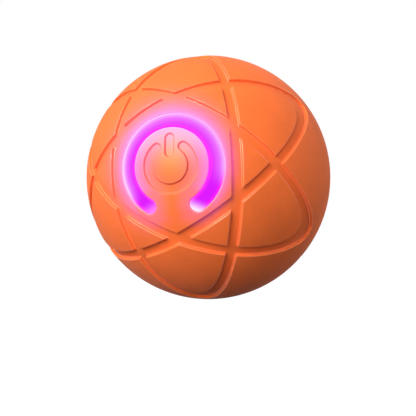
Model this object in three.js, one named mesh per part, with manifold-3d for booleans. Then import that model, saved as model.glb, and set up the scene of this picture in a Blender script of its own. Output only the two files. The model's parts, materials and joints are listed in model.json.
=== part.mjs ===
// A self rolling ball for cats. Two soft covers wrap a rigid hollow ball. The front cover has a lit
// power button, the rear one a charging port. Inside, a gearmotor swings a heavy half ring round the
// ball's axle, and the ball rolls after it. Sizes are in millimetres. The origin is the ball's centre,
// +Z is up, the button faces -Y, and the ball rolls about the Y axis.
import * as THREE from "three";
import { mergeVertices } from "three/addons/utils/BufferGeometryUtils.js";
import Module from "manifold-3d";

const wasm = await Module();
wasm.setup();

// The ball. A size with BALL_SHARE in it is drawn for a ball of 60 mm, and follows the ball when it changes.
// The others are those of gaps and of standard parts, which stay the same.
const BALL_RADIUS = 30;
const BALL_SHARE = BALL_RADIUS / 30;

// Gaps and finish of the meshes
const PIECE_GAP = 0.3; // between two fixed pieces that touch
const BORE_GAP = 0.1; // round a shaft, a pin or a sliding piece
const SWING_CLEARANCE = 0.6; // round the swinging half ring
const CUT_OVERRUN = 1; // how far a cutting body passes the wall that it cuts
const ROUND_STEPS = 36; // round a cover
const SHELL_STEPS = 24; // round a rigid shell or a disc
const BORE_STEPS = 10; // round a screw or a bore
const DOME_RINGS = 7; // from pole to seam on a cover
const SHELL_RINGS = 5; // from pole to seam on a rigid shell
const SMALL_ARC_STEP = 30; // degrees, on a round corner
const LARGE_ARC_STEP = 12; // degrees, on a wide arc

// The two soft covers
const COVER_THICKNESS = 3 * BALL_SHARE;
const COVER_SEAM = 4.5 * BALL_SHARE; // from the ball's centre back to the covers' seam, past the widest place
const SEAM_GAP = 0.3;
const GROOVE_DEPTH = 0.9;
const LOOP_COUNT = 3;
const LOOP_TURN = 60; // degrees from one looped groove to the next
const LOOP_STEPS = 26;
const GROOVE_INNER_SIDE_ANGLE = 25.28; // degrees from the button's axis, at the middle of a loop
const GROOVE_OUTER_SIDE_ANGLE = 29.89;
const GROOVE_INNER_TIP_ANGLE = 67.56; // degrees from the button's axis, at a loop's tip
const GROOVE_OUTER_TIP_ANGLE = 78.81;

// The rigid hollow ball inside the covers
const SHELL_THICKNESS = 2 * BALL_SHARE;
const GASKET_THICKNESS = 0.4 * BALL_SHARE;
const GASKET_WIDTH = 0.8 * BALL_SHARE;
const LIP_THICKNESS = 0.8 * BALL_SHARE;
const LIP_LENGTH = 2 * BALL_SHARE;
const SHELL_BOSS_COUNT = 3;
const SHELL_BOSS_TURN = 30; // degrees, from +X to the first boss
const SHELL_BOSS_RADIUS = 2.9 * BALL_SHARE;
const SHELL_BOSS_INSET = 2.1 * BALL_SHARE; // from the shell's inner wall to the boss's axis
const SHELL_SCREW_SEAT = 8.6 * BALL_SHARE; // the screw head's seat behind the seam
const SHELL_SCREW_LENGTH = 15 * BALL_SHARE;

// Screws
const LARGE_SHANK_RADIUS = 0.9;
const LARGE_HEAD_RADIUS = 1.8;
const SMALL_SHANK_RADIUS = 0.6;
const SMALL_HEAD_RADIUS = 1.3;
const HEAD_HEIGHT_SHARE = 0.55; // of the head's radius
const DRIVE_RADIUS_SHARE = 0.5; // of the head's radius
const DRIVE_DEPTH_SHARE = 0.6; // of the head's height
const HEAD_CROWN_SHARE = 0.8; // of the head's radius
const PILOT_EXTRA = 0.8 * BALL_SHARE; // depth of a hole past its screw's tip
const THREAD_GAP = 0.2 * BALL_SHARE; // round a screw's shank in its hole

// The light ring and the power button
const RING_OUTER_RADIUS = 11.5 * BALL_SHARE;
const RING_WIDTH_SHARE = 0.27; // of the ring's outer radius
const RING_GAP_ANGLE = 32.5; // degrees each side of the lowest point, where the ring is open
const FLANGE_THICKNESS = 0.8 * BALL_SHARE;
const HINGE_THICKNESS = 1.2 * BALL_SHARE;
const BUTTON_POST_RADIUS = 1.8 * BALL_SHARE;
const BUTTON_TRAVEL_ANGLE = 1.2; // degrees
const MARK_DEPTH = 0.4;
const MARK_INNER_SHARE = 0.471; // of the ring's inner radius
const MARK_OUTER_SHARE = 0.707;
const MARK_GAP_ANGLE = 37; // degrees each side of the top, where the mark's circle is open
const TICK_WIDTH_SHARE = 0.23; // of the ring's inner radius
const TICK_TOP_SHARE = 0.827;
const TICK_BOTTOM_SHARE = 0.223;

// The main circuit board, from the battery forwards
const BOARD_THICKNESS = 1.2 * BALL_SHARE;
const BOARD_WALL_CLEARANCE = 0.6 * BALL_SHARE;
const BOARD_SCREW_INSET = 1.9 * BALL_SHARE;
const BOARD_SCREW_COUNT = 3;
const BOARD_SCREW_TURN = 30; // degrees, from +X to the first screw
const BOARD_POST_RADIUS = 1.5 * BALL_SHARE;
const BOARD_SCREW_LENGTH = 2.8 * BALL_SHARE;
const BOARD_REAR_ROOM = 1.8 * BALL_SHARE; // between the board and the battery
const LED_COUNT = 6;
const LED_WIDTH = 2;
const LED_LENGTH = 1.2;
const LED_HEIGHT = 0.8;
const LED_CLEARANCE = 0.5;
const SWITCH_WIDTH = 6 * BALL_SHARE;
const SWITCH_HEIGHT = 3.5 * BALL_SHARE;
const STEM_RADIUS = 1.7 * BALL_SHARE;
const STEM_RISE = 1.1 * BALL_SHARE;
const STEM_POCKET_DEPTH = 2 * BALL_SHARE;
const CHIP_WIDTH = 5;
const CHIP_HEIGHT = 0.9;
const CHIP_OFFSET = 4.5 * BALL_SHARE;
const SENSOR_WIDTH = 3;
const SENSOR_OFFSET = -5.5 * BALL_SHARE;

// The battery and the chassis that holds the drive
const BATTERY_THICKNESS = 4.8 * BALL_SHARE;
const BATTERY_WIDTH = 20 * BALL_SHARE;
const BATTERY_HEIGHT = 25 * BALL_SHARE;
const BATTERY_CORNER = 2 * BALL_SHARE;
const CHASSIS_DEPTH = 8.9 * BALL_SHARE; // from the ball's centre to the chassis disc's rear face
const CHASSIS_THICKNESS = 1.5 * BALL_SHARE;
const CHASSIS_POST_RADIUS = 1.7 * BALL_SHARE;
const CHASSIS_SCREW_INSET = 2 * BALL_SHARE;
const CHASSIS_SCREW_COUNT = 3;
const CHASSIS_SCREW_TURN = 90; // degrees, from +X to the first screw
const CHASSIS_SCREW_LENGTH = 5 * BALL_SHARE;
const CHASSIS_SINK = 0.8 * BALL_SHARE; // depth of each sunk screw head
const POD_THICKNESS = 1.3 * BALL_SHARE;
const PILLAR_ANGLE = 20; // degrees from level, from an axle to its two pillars

// The motor
const MOTOR_RADIUS = 6 * BALL_SHARE;
const MOTOR_LENGTH = 8.8 * BALL_SHARE;
const MOTOR_WALL = 0.5 * BALL_SHARE;
const END_CAP_THICKNESS = 0.6 * BALL_SHARE;
const ARMATURE_RADIUS = 3.4 * BALL_SHARE;
const ARMATURE_LENGTH = 5.4 * BALL_SHARE;
const MOTOR_SHAFT_RADIUS = 0.4 * BALL_SHARE;
const MOTOR_BEARING_RADIUS = 1.2 * BALL_SHARE;
const MOTOR_BEARING_LENGTH = 0.6 * BALL_SHARE;
const TAB_WIDTH = 1.2 * BALL_SHARE;
const TAB_REACH = 2.6 * BALL_SHARE;

// The gear train: four steps of three to one, on two axles
const GEAR_MODULE = 0.4 * BALL_SHARE;
const GEAR_STEP_COUNT = 4;
const WHEEL_TEETH = 24;
const PINION_TEETH = 8;
const PRESSURE_ANGLE = 20; // degrees
const ADDENDUM_SHARE = 0.9; // of the module
const DEDENDUM_SHARE = 1.25; // of the module
const BACKLASH = 0.08 * BALL_SHARE;
const GEAR_FACE = 1.3 * BALL_SHARE;
const GEAR_PLATE_THICKNESS = 0.9 * BALL_SHARE;
const FRONT_PLATE_THICKNESS = 0.8 * BALL_SHARE;
const PILLAR_RADIUS = 1.1 * BALL_SHARE;
const PILLAR_PIN_RADIUS = 0.6 * BALL_SHARE;
const SPINDLE_RADIUS = 0.7 * BALL_SHARE;
const OUTPUT_SHAFT_RADIUS = 1.25 * BALL_SHARE;
const SHAFT_FLAT = 0.85 * BALL_SHARE; // from the axis to the flat that drives the arm

// The swinging arm and its half ring
const ARM_THICKNESS = 1.5 * BALL_SHARE;
const ARM_SPREAD_ANGLE = 48; // degrees each side of straight down
const ARM_HOLE_RADIUS = 1.9 * BALL_SHARE;
const HUB_RADIUS = 3 * BALL_SHARE;
const HUB_LENGTH = 2.6 * BALL_SHARE;
const HUB_OPEN_ANGLE = -20; // degrees from +X, where the arm's sides meet the hub
const WEIGHT_LENGTH = 14.6 * BALL_SHARE;
const WEIGHT_HALF_ANGLE = 84; // degrees each side of straight down
const WEIGHT_SCREW_ANGLE = 33; // degrees each side of straight down
const WEIGHT_SCREW_LENGTH = 7 * BALL_SHARE;
const WEIGHT_HOLE_DEPTH = 6.3 * BALL_SHARE;

// The rear bridge that carries the shaft's end
const BRIDGE_THICKNESS = 1.8 * BALL_SHARE;
const BRIDGE_WIDTH = 5 * BALL_SHARE;
const BRIDGE_HUB_RADIUS = 3.4 * BALL_SHARE;
const BRIDGE_REACH = 15.5 * BALL_SHARE; // from the axis to each screw
const BRIDGE_POST_RADIUS = 1.6 * BALL_SHARE;
const BRIDGE_SINK = 1 * BALL_SHARE; // depth of each sunk screw head
const BRIDGE_SCREW_LENGTH = 3.6 * BALL_SHARE;
const BUSH_WALL = 0.7 * BALL_SHARE;

// The charging board and port
const PORT_PAD_RISE = 0.5 * BALL_SHARE;
const PORT_WIDTH = 12.5 * BALL_SHARE;
const PORT_HEIGHT = 6.6 * BALL_SHARE;
const PORT_CORNER = 1.8 * BALL_SHARE;
const SOCKET_LENGTH = 8.6 * BALL_SHARE;
const SOCKET_WIDTH = 8.94;
const SOCKET_HEIGHT = 3.26;
const SOCKET_WALL = 0.3;
const SOCKET_TONGUE_WIDTH = 6.7;
const SOCKET_TONGUE_THICKNESS = 0.7;
const SOCKET_TONGUE_SINK = 0.9; // from the port's mouth to the tongue's tip
const SOCKET_BASE_LENGTH = 1.9;
const CHARGE_BOARD_RADIUS = 8.6 * BALL_SHARE;
const CHARGE_BOARD_THICKNESS = 1 * BALL_SHARE;
const CHARGE_SCREW_REACH = 6.6 * BALL_SHARE;
const CHARGE_POST_RADIUS = 1.3 * BALL_SHARE;
const CHARGE_SCREW_LENGTH = 4 * BALL_SHARE;

// Leads
const LEAD_RADIUS = 0.4;
const LEAD_SIDES = 8;
const LEAD_STEP_SHARE = 6; // a lead's length per step, in lead radii
const LEAD_WALL_CLEARANCE = 0.7;
const LEAD_PITCH = 1.8; // between two leads that run side by side
const LEAD_BEND_SHARE = 2.5; // of the lead's radius
const MOTOR_LEAD_CLEARANCE = 1.2; // from the battery's side
const CHARGE_LEAD_TURN = 60; // degrees, from +X to the plane of the charging leads
const CHARGE_LEAD_WALL_ANGLES = [50, 65, 80, 95, 110, 125]; // degrees from +Y, along the shell's wall

// Finishes
const ORANGE_SILICONE = { color: 0xff7a45, roughness: 0.6, metalness: 0 };
const CLEAR_PURPLE = { color: 0xd23cff, roughness: 0.35, metalness: 0 };
const WARM_WHITE = { color: 0xe8e4dc, roughness: 0.5, metalness: 0 };
const DARK_GREY = { color: 0x35363a, roughness: 0.6, metalness: 0 };
const LIGHT_GREY = { color: 0x8c8f94, roughness: 0.5, metalness: 0 };
const BLACK = { color: 0x17181a, roughness: 0.5, metalness: 0 };
const RED = { color: 0xc23a2e, roughness: 0.6, metalness: 0 };
const BOARD_GREEN = { color: 0x1f6b3d, roughness: 0.5, metalness: 0 };
const STEEL = { color: 0xb9bcc0, roughness: 0.3, metalness: 1 };
const BRASS = { color: 0xc9a24b, roughness: 0.35, metalness: 1 };
const ZINC = { color: 0x9a9c9f, roughness: 0.4, metalness: 1 };
const SILVER_FOIL = { color: 0x9fb0c4, roughness: 0.4, metalness: 1 };

const FULL_TURN = 2 * Math.PI;
const QUARTER_TURN = Math.PI / 2;
const radians = THREE.MathUtils.degToRad;

// Places that follow from the sizes above, from the outside in
const coverInner = BALL_RADIUS - COVER_THICKNESS;
const shellOuter = coverInner - PIECE_GAP;
const shellInner = shellOuter - SHELL_THICKNESS;
const ringInner = RING_OUTER_RADIUS * (1 - RING_WIDTH_SHARE);
const rimDepth = GASKET_THICKNESS / 2 + PIECE_GAP;
const bossCircle = shellInner - SHELL_BOSS_INSET;
const chassisRadius = bossCircle - SHELL_BOSS_RADIUS - PIECE_GAP;

// Along the axle, from the chassis forwards (towards -Y)
const chassisRear = -CHASSIS_DEPTH;
const chassisFront = chassisRear - CHASSIS_THICKNESS;
const batteryRear = chassisFront - PIECE_GAP;
const batteryFront = batteryRear - BATTERY_THICKNESS;
const boardRear = batteryFront - BOARD_REAR_ROOM;
const boardFront = boardRear - BOARD_THICKNESS;
const ledRear = boardFront - PIECE_GAP;
const ledFront = ledRear - LED_HEIGHT;
const flangeRear = ledFront - LED_CLEARANCE;
const flangeFront = flangeRear - FLANGE_THICKNESS;
const switchFront = ledRear - SWITCH_HEIGHT;
const stemFront = switchFront - STEM_RISE;
const postTip = stemFront - PIECE_GAP;
const boardRadius = Math.sqrt((shellInner - BOARD_WALL_CLEARANCE) ** 2 - boardFront ** 2);
const flangeRadius = Math.sqrt((shellInner - PIECE_GAP) ** 2 - flangeFront ** 2);

// Along the axle, from the chassis backwards (towards +Y)
const leadChannel = 2 * LEAD_RADIUS + PIECE_GAP;
const endCapFront = chassisFront + leadChannel;
const endCapRear = endCapFront + END_CAP_THICKNESS;
const canFront = endCapRear + PIECE_GAP;
const canRear = canFront + MOTOR_LENGTH;
const frontPlateFront = canRear + PIECE_GAP;
const frontPlateRear = frontPlateFront + FRONT_PLATE_THICKNESS;
const gearPitch = GEAR_FACE + PIECE_GAP;
const planeFront = (plane) => frontPlateRear + PIECE_GAP + plane * gearPitch;
const rearPlateFront = planeFront(GEAR_STEP_COUNT);
const rearPlateRear = rearPlateFront + GEAR_PLATE_THICKNESS;
const armFront = rearPlateRear + SWING_CLEARANCE;
const armRear = armFront + ARM_THICKNESS;
const hubRear = armFront + HUB_LENGTH;
const bridgeFront = hubRear + SWING_CLEARANCE;
const bridgeRear = bridgeFront + BRIDGE_THICKNESS;
const padFace = shellOuter + PORT_PAD_RISE;
const socketMouth = padFace - PIECE_GAP;
const socketBase = socketMouth - SOCKET_LENGTH;
const chargeBoardRear = socketBase - PIECE_GAP;
const chargeBoardFront = chargeBoardRear - CHARGE_BOARD_THICKNESS;

// The gear train's radii and the room that it takes
const wheelPitchRadius = (GEAR_MODULE * WHEEL_TEETH) / 2;
const pinionPitchRadius = (GEAR_MODULE * PINION_TEETH) / 2;
const axleDistance = wheelPitchRadius + pinionPitchRadius;
const wheelTip = wheelPitchRadius + ADDENDUM_SHARE * GEAR_MODULE;
const podRadius = MOTOR_RADIUS + PIECE_GAP + POD_THICKNESS;
const gearReach = axleDistance + wheelTip + PIECE_GAP;
const weightInner = gearReach + SWING_CLEARANCE;
const weightOuter = bossCircle - SHELL_BOSS_RADIUS - SWING_CLEARANCE;
const weightScrewCircle = (weightInner + weightOuter) / 2;

// The four pillars of the gear case stand clear of the wheels, two beside each axle.
const pillarReach = wheelTip + PIECE_GAP + PILLAR_RADIUS;
const pillarX = pillarReach * Math.cos(radians(PILLAR_ANGLE));
const pillarLow = -pillarReach * Math.sin(radians(PILLAR_ANGLE));
const pillarHigh = axleDistance - pillarLow;
const pillars = [-pillarX, pillarX].flatMap((x) => [pillarLow, pillarHigh].map((z) => [x, z]));

// Places of the screws, the switch, the arm and the leads
const shellScrewTip = SHELL_SCREW_SEAT + PIECE_GAP - SHELL_SCREW_LENGTH;
const boardScrewCircle = boardRadius - BOARD_SCREW_INSET;
const chassisScrewCircle = chassisRadius - CHASSIS_SCREW_INSET;
const chassisScrewSeat = chassisRear - CHASSIS_SINK + PIECE_GAP;
const hingeHeight = RING_OUTER_RADIUS - PIECE_GAP / 2;
const stemTravel = hingeHeight * radians(BUTTON_TRAVEL_ANGLE);
const weightRear = armFront - PIECE_GAP;
const bushOuter = OUTPUT_SHAFT_RADIUS + BORE_GAP + BUSH_WALL;
const leadBend = LEAD_BEND_SHARE * LEAD_RADIUS;
const boardLeadEnd = boardRear + PIECE_GAP;
const motorLeadReach = BATTERY_WIDTH / 2 + MOTOR_LEAD_CLEARANCE + LEAD_RADIUS;

// A closed solid from a three.js geometry, with its faces turned outwards.
function solid(geometry) {
  const bare = geometry.index ? geometry.toNonIndexed() : geometry.clone();
  bare.deleteAttribute("normal");
  bare.deleteAttribute("uv");
  const merged = mergeVertices(bare);
  const corners = merged.index.array;
  const triangles = [];
  for (let i = 0; i < corners.length; i += 3) {
    const [a, b, c] = corners.slice(i, i + 3);
    if (a !== b && b !== c && c !== a) triangles.push(a, b, c);
  }
  const build = (order) =>
    new wasm.Manifold(
      new wasm.Mesh({
        numProp: 3,
        vertProperties: merged.attributes.position.array,
        triVerts: new Uint32Array(order),
      }),
    );
  const made = build(triangles);
  return made.volume() < 0 ? build(triangles.toReversed()) : made;
}

// The three.js geometry of a solid.
function geometryOf(body) {
  const mesh = body.getMesh();
  const geometry = new THREE.BufferGeometry();
  geometry.setAttribute("position", new THREE.BufferAttribute(mesh.vertProperties, mesh.numProp));
  geometry.setIndex(new THREE.BufferAttribute(mesh.triVerts, 1));
  geometry.computeVertexNormals();
  return geometry;
}

function piece(name, body, finish) {
  const mesh = new THREE.Mesh(geometryOf(body), new THREE.MeshStandardMaterial(finish));
  mesh.name = name;
  return mesh;
}

// Points of an arc about (x, z), from one angle to another in degrees.
function arc(x, z, radius, from, to, step) {
  const count = Math.max(1, Math.round(Math.abs(to - from) / step));
  return Array.from({ length: count + 1 }, (_, i) => {
    const angle = radians(from + ((to - from) * i) / count);
    return new THREE.Vector2(x + radius * Math.cos(angle), z + radius * Math.sin(angle));
  });
}

// A solid of revolution about the Y axis from points (radius, y).
function turned(points, steps) {
  return solid(new THREE.LatheGeometry(points, steps));
}

// A round bar along Y between two places.
function bar(radius, front, rear, steps = BORE_STEPS) {
  const profile = [
    new THREE.Vector2(0, front),
    new THREE.Vector2(radius, front),
    new THREE.Vector2(radius, rear),
    new THREE.Vector2(0, rear),
  ];
  return turned(profile, steps);
}

function tube(inner, outer, front, rear, steps = BORE_STEPS) {
  return bar(outer, front, rear, steps).subtract(bar(inner, front - CUT_OVERRUN, rear + CUT_OVERRUN, steps));
}

// An outline drawn in X and Z, made solid along Y between two places.
function prism(outline, front, rear) {
  const shape = outline.isShape ? outline : new THREE.Shape(outline);
  const geometry = new THREE.ExtrudeGeometry(shape, { depth: rear - front, bevelEnabled: false });
  geometry.rotateX(QUARTER_TURN);
  geometry.translate(0, rear, 0);
  return solid(geometry);
}

function circle(x, z, radius, step = LARGE_ARC_STEP) {
  return arc(x, z, radius, 0, 360, step).slice(1);
}

function roundedRectangle(width, height, corner) {
  const x = width / 2 - corner;
  const z = height / 2 - corner;
  return [
    ...arc(x, z, corner, 0, 90, SMALL_ARC_STEP),
    ...arc(-x, z, corner, 90, 180, SMALL_ARC_STEP),
    ...arc(-x, -z, corner, 180, 270, SMALL_ARC_STEP),
    ...arc(x, -z, corner, 270, 360, SMALL_ARC_STEP),
  ];
}

// A ring with a gap and round ends. The gap is centred on a direction, in degrees from +X.
function openRing(inner, outer, gapDirection, gapHalfAngle, inset = 0) {
  const middle = (inner + outer) / 2;
  const cap = (outer - inner) / 2 - inset;
  const start = gapDirection + gapHalfAngle;
  const end = gapDirection + 360 - gapHalfAngle;
  const place = (angle) => [middle * Math.cos(radians(angle)), middle * Math.sin(radians(angle))];
  return [
    ...arc(0, 0, middle + cap, start, end, LARGE_ARC_STEP),
    ...arc(...place(end), cap, end, end + 180, SMALL_ARC_STEP).slice(1, -1),
    ...arc(0, 0, middle - cap, end, start, LARGE_ARC_STEP),
    ...arc(...place(start), cap, start + 180, start + 360, SMALL_ARC_STEP).slice(1, -1),
  ];
}

function box(width, depth, height, x, y, z) {
  const geometry = new THREE.BoxGeometry(width, depth, height);
  geometry.translate(x, y, z);
  return solid(geometry);
}

// A place on a circle in X and Z, at an angle in degrees from +X.
function onCircle(radius, angle) {
  return [radius * Math.cos(radians(angle)), radius * Math.sin(radians(angle))];
}

function around(count, first) {
  return Array.from({ length: count }, (_, i) => first + (i * 360) / count);
}

// The part of a ball from one pole to a seam. The side is -1 at the front and 1 at the rear, and the
// seam's place is counted from the ball's centre towards that pole.
function dome(radius, side, seam, steps, rings) {
  const seamAngle = Math.acos(seam / radius);
  const points = Array.from({ length: rings + 1 }, (_, i) => {
    const angle = (seamAngle * i) / rings;
    return new THREE.Vector2(i ? radius * Math.sin(angle) : 0, side * radius * Math.cos(angle));
  });
  points.push(new THREE.Vector2(0, side * seam));
  return turned(points, steps);
}

function wholeBall(radius, steps, rings) {
  const points = Array.from({ length: 2 * rings + 1 }, (_, i) => {
    const angle = (QUARTER_TURN * i) / rings;
    const isPole = i === 0 || i === 2 * rings;
    return new THREE.Vector2(isPole ? 0 : radius * Math.sin(angle), -radius * Math.cos(angle));
  });
  return turned(points, steps);
}

// One looped groove's cutting body: an ellipse seen along the button's axis, laid on the ball.
function grooveCutter(side, turn) {
  const ends = [
    [GROOVE_INNER_SIDE_ANGLE, GROOVE_INNER_TIP_ANGLE],
    [GROOVE_OUTER_SIDE_ANGLE, GROOVE_OUTER_TIP_ANGLE],
  ].map((pair) => pair.map((angle) => Math.sin(radians(angle))));
  const heights = [BALL_RADIUS - GROOVE_DEPTH, BALL_RADIUS + CUT_OVERRUN];
  const corners = [
    [ends[0], heights[0]],
    [ends[1], heights[0]],
    [ends[1], heights[1]],
    [ends[0], heights[1]],
  ];
  const positions = [];
  const index = [];
  for (let i = 0; i < LOOP_STEPS; i++) {
    const t = (FULL_TURN * i) / LOOP_STEPS;
    for (const [[across, along], height] of corners) {
      const u = across * Math.cos(t);
      const v = along * Math.sin(t);
      positions.push(height * u, side * height * Math.sqrt(1 - u * u - v * v), height * v);
    }
    const here = i * corners.length;
    const next = ((i + 1) % LOOP_STEPS) * corners.length;
    for (let k = 0; k < corners.length; k++) {
      const m = (k + 1) % corners.length;
      index.push(here + k, next + k, next + m, here + k, next + m, here + m);
    }
  }
  const geometry = new THREE.BufferGeometry();
  geometry.setAttribute("position", new THREE.Float32BufferAttribute(positions, 3));
  geometry.setIndex(index);
  geometry.rotateY(radians(turn));
  return solid(geometry);
}

// A soft cover: one side of the ball with its looped grooves. The front one reaches a little past the
// ball's middle, and so holds itself on.
function cover(side) {
  const seam = side * COVER_SEAM + SEAM_GAP / 2;
  let body = dome(BALL_RADIUS, side, seam, ROUND_STEPS, DOME_RINGS);
  for (let i = 0; i < LOOP_COUNT; i++) body = body.subtract(grooveCutter(side, i * LOOP_TURN));
  return body.subtract(wholeBall(coverInner, SHELL_STEPS, SHELL_RINGS));
}

function frontCover() {
  const hole = prism(circle(0, 0, RING_OUTER_RADIUS), -BALL_RADIUS - CUT_OVERRUN, 0);
  return cover(-1).subtract(hole);
}

function rearCover() {
  const port = roundedRectangle(PORT_WIDTH, PORT_HEIGHT, PORT_CORNER);
  return cover(1).subtract(prism(port, 0, BALL_RADIUS + CUT_OVERRUN));
}

// The button: a disc inside the light ring, with a neck in the ring's gap that bends as its hinge.
function powerButton() {
  const edge = RING_OUTER_RADIUS - PIECE_GAP;
  const face = dome(BALL_RADIUS, -1, 0, ROUND_STEPS, DOME_RINGS);
  const hollow = dome(coverInner, -1, 0, ROUND_STEPS, DOME_RINGS);
  const neckHeight = 2 * (RING_OUTER_RADIUS - ringInner);
  const neckMiddle = -ringInner - neckHeight / 2;
  const neckRoom = box(2 * edge, BALL_RADIUS, neckHeight, 0, -BALL_RADIUS / 2, neckMiddle);
  const neckHollow = dome(BALL_RADIUS - HINGE_THICKNESS, -1, 0, ROUND_STEPS, DOME_RINGS).intersect(neckRoom);
  const slot = openRing(ringInner, RING_OUTER_RADIUS, -90, RING_GAP_ANGLE);
  const post = bar(BUTTON_POST_RADIUS, -coverInner - PIECE_GAP, postTip);
  return face
    .intersect(prism(circle(0, 0, edge), -BALL_RADIUS - CUT_OVERRUN, -CUT_OVERRUN))
    .subtract(hollow.add(neckHollow))
    .subtract(prism(slot, -BALL_RADIUS - CUT_OVERRUN, 0))
    .subtract(powerMark())
    .add(post);
}

// The sunk power mark: an open circle and a tick.
function powerMark() {
  const ring = openRing(ringInner * MARK_INNER_SHARE, ringInner * MARK_OUTER_SHARE, 90, MARK_GAP_ANGLE);
  const half = (ringInner * TICK_WIDTH_SHARE) / 2;
  const top = ringInner * TICK_TOP_SHARE;
  const bottom = ringInner * TICK_BOTTOM_SHARE;
  const tick = [
    ...arc(0, top - half, half, 0, 180, SMALL_ARC_STEP),
    ...arc(0, bottom + half, half, 180, 360, SMALL_ARC_STEP),
  ];
  const front = -BALL_RADIUS - CUT_OVERRUN;
  const floor = dome(BALL_RADIUS - MARK_DEPTH, -1, 0, ROUND_STEPS, DOME_RINGS);
  return prism(ring, front, -coverInner).add(prism(tick, front, -coverInner)).subtract(floor);
}

// The clear ring that carries the light to the surface, on a round flange behind the rigid shell.
function lightRing() {
  const outline = openRing(ringInner, RING_OUTER_RADIUS, -90, RING_GAP_ANGLE, PIECE_GAP);
  const wall = prism(outline, -BALL_RADIUS - CUT_OVERRUN, flangeRear);
  const inner = ringInner + PIECE_GAP;
  let body = wall
    .intersect(dome(BALL_RADIUS, -1, 0, ROUND_STEPS, DOME_RINGS))
    .add(tube(inner, flangeRadius, flangeFront, flangeRear, SHELL_STEPS));
  for (const angle of around(BOARD_SCREW_COUNT, BOARD_SCREW_TURN)) {
    const [x, z] = onCircle(boardScrewCircle, angle);
    const notch = bar(BOARD_POST_RADIUS + PIECE_GAP, flangeFront - CUT_OVERRUN, 0).translate([x, 0, z]);
    body = body.subtract(notch);
  }
  return body;
}

// A hollow rigid half ball, open at the seam.
function rigidHalf(side) {
  const outside = dome(shellOuter, side, rimDepth, SHELL_STEPS, SHELL_RINGS);
  return outside.subtract(dome(shellInner, side, 0, SHELL_STEPS, SHELL_RINGS));
}

// A post inside a rigid half ball, from a place on its axis out to the wall.
function wallPost(x, z, radius, side, from, hole, depth) {
  const reach = side * shellInner;
  const [front, rear] = side < 0 ? [reach, from] : [from, reach];
  const outside = dome(shellOuter, side, 0, SHELL_STEPS, SHELL_RINGS);
  const post = bar(radius, front, rear).translate([x, 0, z]).intersect(outside);
  const tip = from + side * depth;
  const mouth = from - side * CUT_OVERRUN;
  const bore = bar(hole, Math.min(tip, mouth), Math.max(tip, mouth)).translate([x, 0, z]);
  return [post, bore];
}

function frontShell() {
  const posts = [];
  const smallHole = SMALL_SHANK_RADIUS + THREAD_GAP;
  for (const angle of around(SHELL_BOSS_COUNT, SHELL_BOSS_TURN)) {
    const depth = -rimDepth - shellScrewTip + PILOT_EXTRA;
    const [x, z] = onCircle(bossCircle, angle);
    posts.push(wallPost(x, z, SHELL_BOSS_RADIUS, -1, -rimDepth, LARGE_SHANK_RADIUS + THREAD_GAP, depth));
  }
  for (const angle of around(BOARD_SCREW_COUNT, BOARD_SCREW_TURN)) {
    const [x, z] = onCircle(boardScrewCircle, angle);
    const depth = BOARD_SCREW_LENGTH - BOARD_THICKNESS - PIECE_GAP;
    posts.push(wallPost(x, z, BOARD_POST_RADIUS, -1, boardFront - PIECE_GAP, smallHole, depth));
  }
  for (const angle of around(CHASSIS_SCREW_COUNT, CHASSIS_SCREW_TURN)) {
    const [x, z] = onCircle(chassisScrewCircle, angle);
    const from = chassisFront - PIECE_GAP;
    const depth = from - chassisScrewSeat + CHASSIS_SCREW_LENGTH + PILOT_EXTRA;
    posts.push(wallPost(x, z, CHASSIS_POST_RADIUS, -1, from, smallHole, depth));
  }
  const lip = tube(shellInner, shellInner + LIP_THICKNESS, -LIP_LENGTH, LIP_LENGTH, SHELL_STEPS);
  let body = rigidHalf(-1).add(lip);
  for (const [post] of posts) body = body.add(post);
  for (const [, bore] of posts) body = body.subtract(bore);
  const opening = RING_OUTER_RADIUS + PIECE_GAP;
  return body.subtract(bar(opening, -BALL_RADIUS, flangeFront, SHELL_STEPS));
}

function rearShell() {
  const posts = [];
  const smallHole = SMALL_SHANK_RADIUS + THREAD_GAP;
  for (const angle of around(SHELL_BOSS_COUNT, SHELL_BOSS_TURN)) {
    const [x, z] = onCircle(bossCircle, angle);
    const hole = LARGE_SHANK_RADIUS + THREAD_GAP;
    const [post, bore] = wallPost(x, z, SHELL_BOSS_RADIUS, 1, rimDepth, hole, SHELL_SCREW_SEAT);
    const sink = bar(LARGE_HEAD_RADIUS + PIECE_GAP, SHELL_SCREW_SEAT, BALL_RADIUS).translate([x, 0, z]);
    posts.push([post, bore.add(sink)]);
  }
  for (const x of [-BRIDGE_REACH, BRIDGE_REACH])
    posts.push(wallPost(x, 0, BRIDGE_POST_RADIUS, 1, bridgeRear + PIECE_GAP, smallHole, BRIDGE_SCREW_LENGTH));
  for (const x of [-CHARGE_SCREW_REACH, CHARGE_SCREW_REACH])
    posts.push(wallPost(x, 0, CHARGE_POST_RADIUS, 1, socketBase, smallHole, CHARGE_SCREW_LENGTH));
  const both = 2 * PIECE_GAP;
  const padOutline = roundedRectangle(PORT_WIDTH - both, PORT_HEIGHT - both, PORT_CORNER - PIECE_GAP);
  const socketHole = roundedRectangle(SOCKET_WIDTH + both, SOCKET_HEIGHT + both, SOCKET_HEIGHT / 2);
  const inside = dome(shellInner, 1, 0, SHELL_STEPS, SHELL_RINGS);
  let body = rigidHalf(1).add(prism(padOutline, shellInner - CUT_OVERRUN, padFace).subtract(inside));
  for (const [post] of posts) body = body.add(post);
  for (const [, bore] of posts) body = body.subtract(bore);
  const recess = tube(
    shellInner - PIECE_GAP,
    shellInner + LIP_THICKNESS + PIECE_GAP,
    0,
    LIP_LENGTH + PIECE_GAP,
    SHELL_STEPS,
  );
  return body.subtract(recess).subtract(prism(socketHole, chargeBoardRear, BALL_RADIUS));
}

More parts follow.
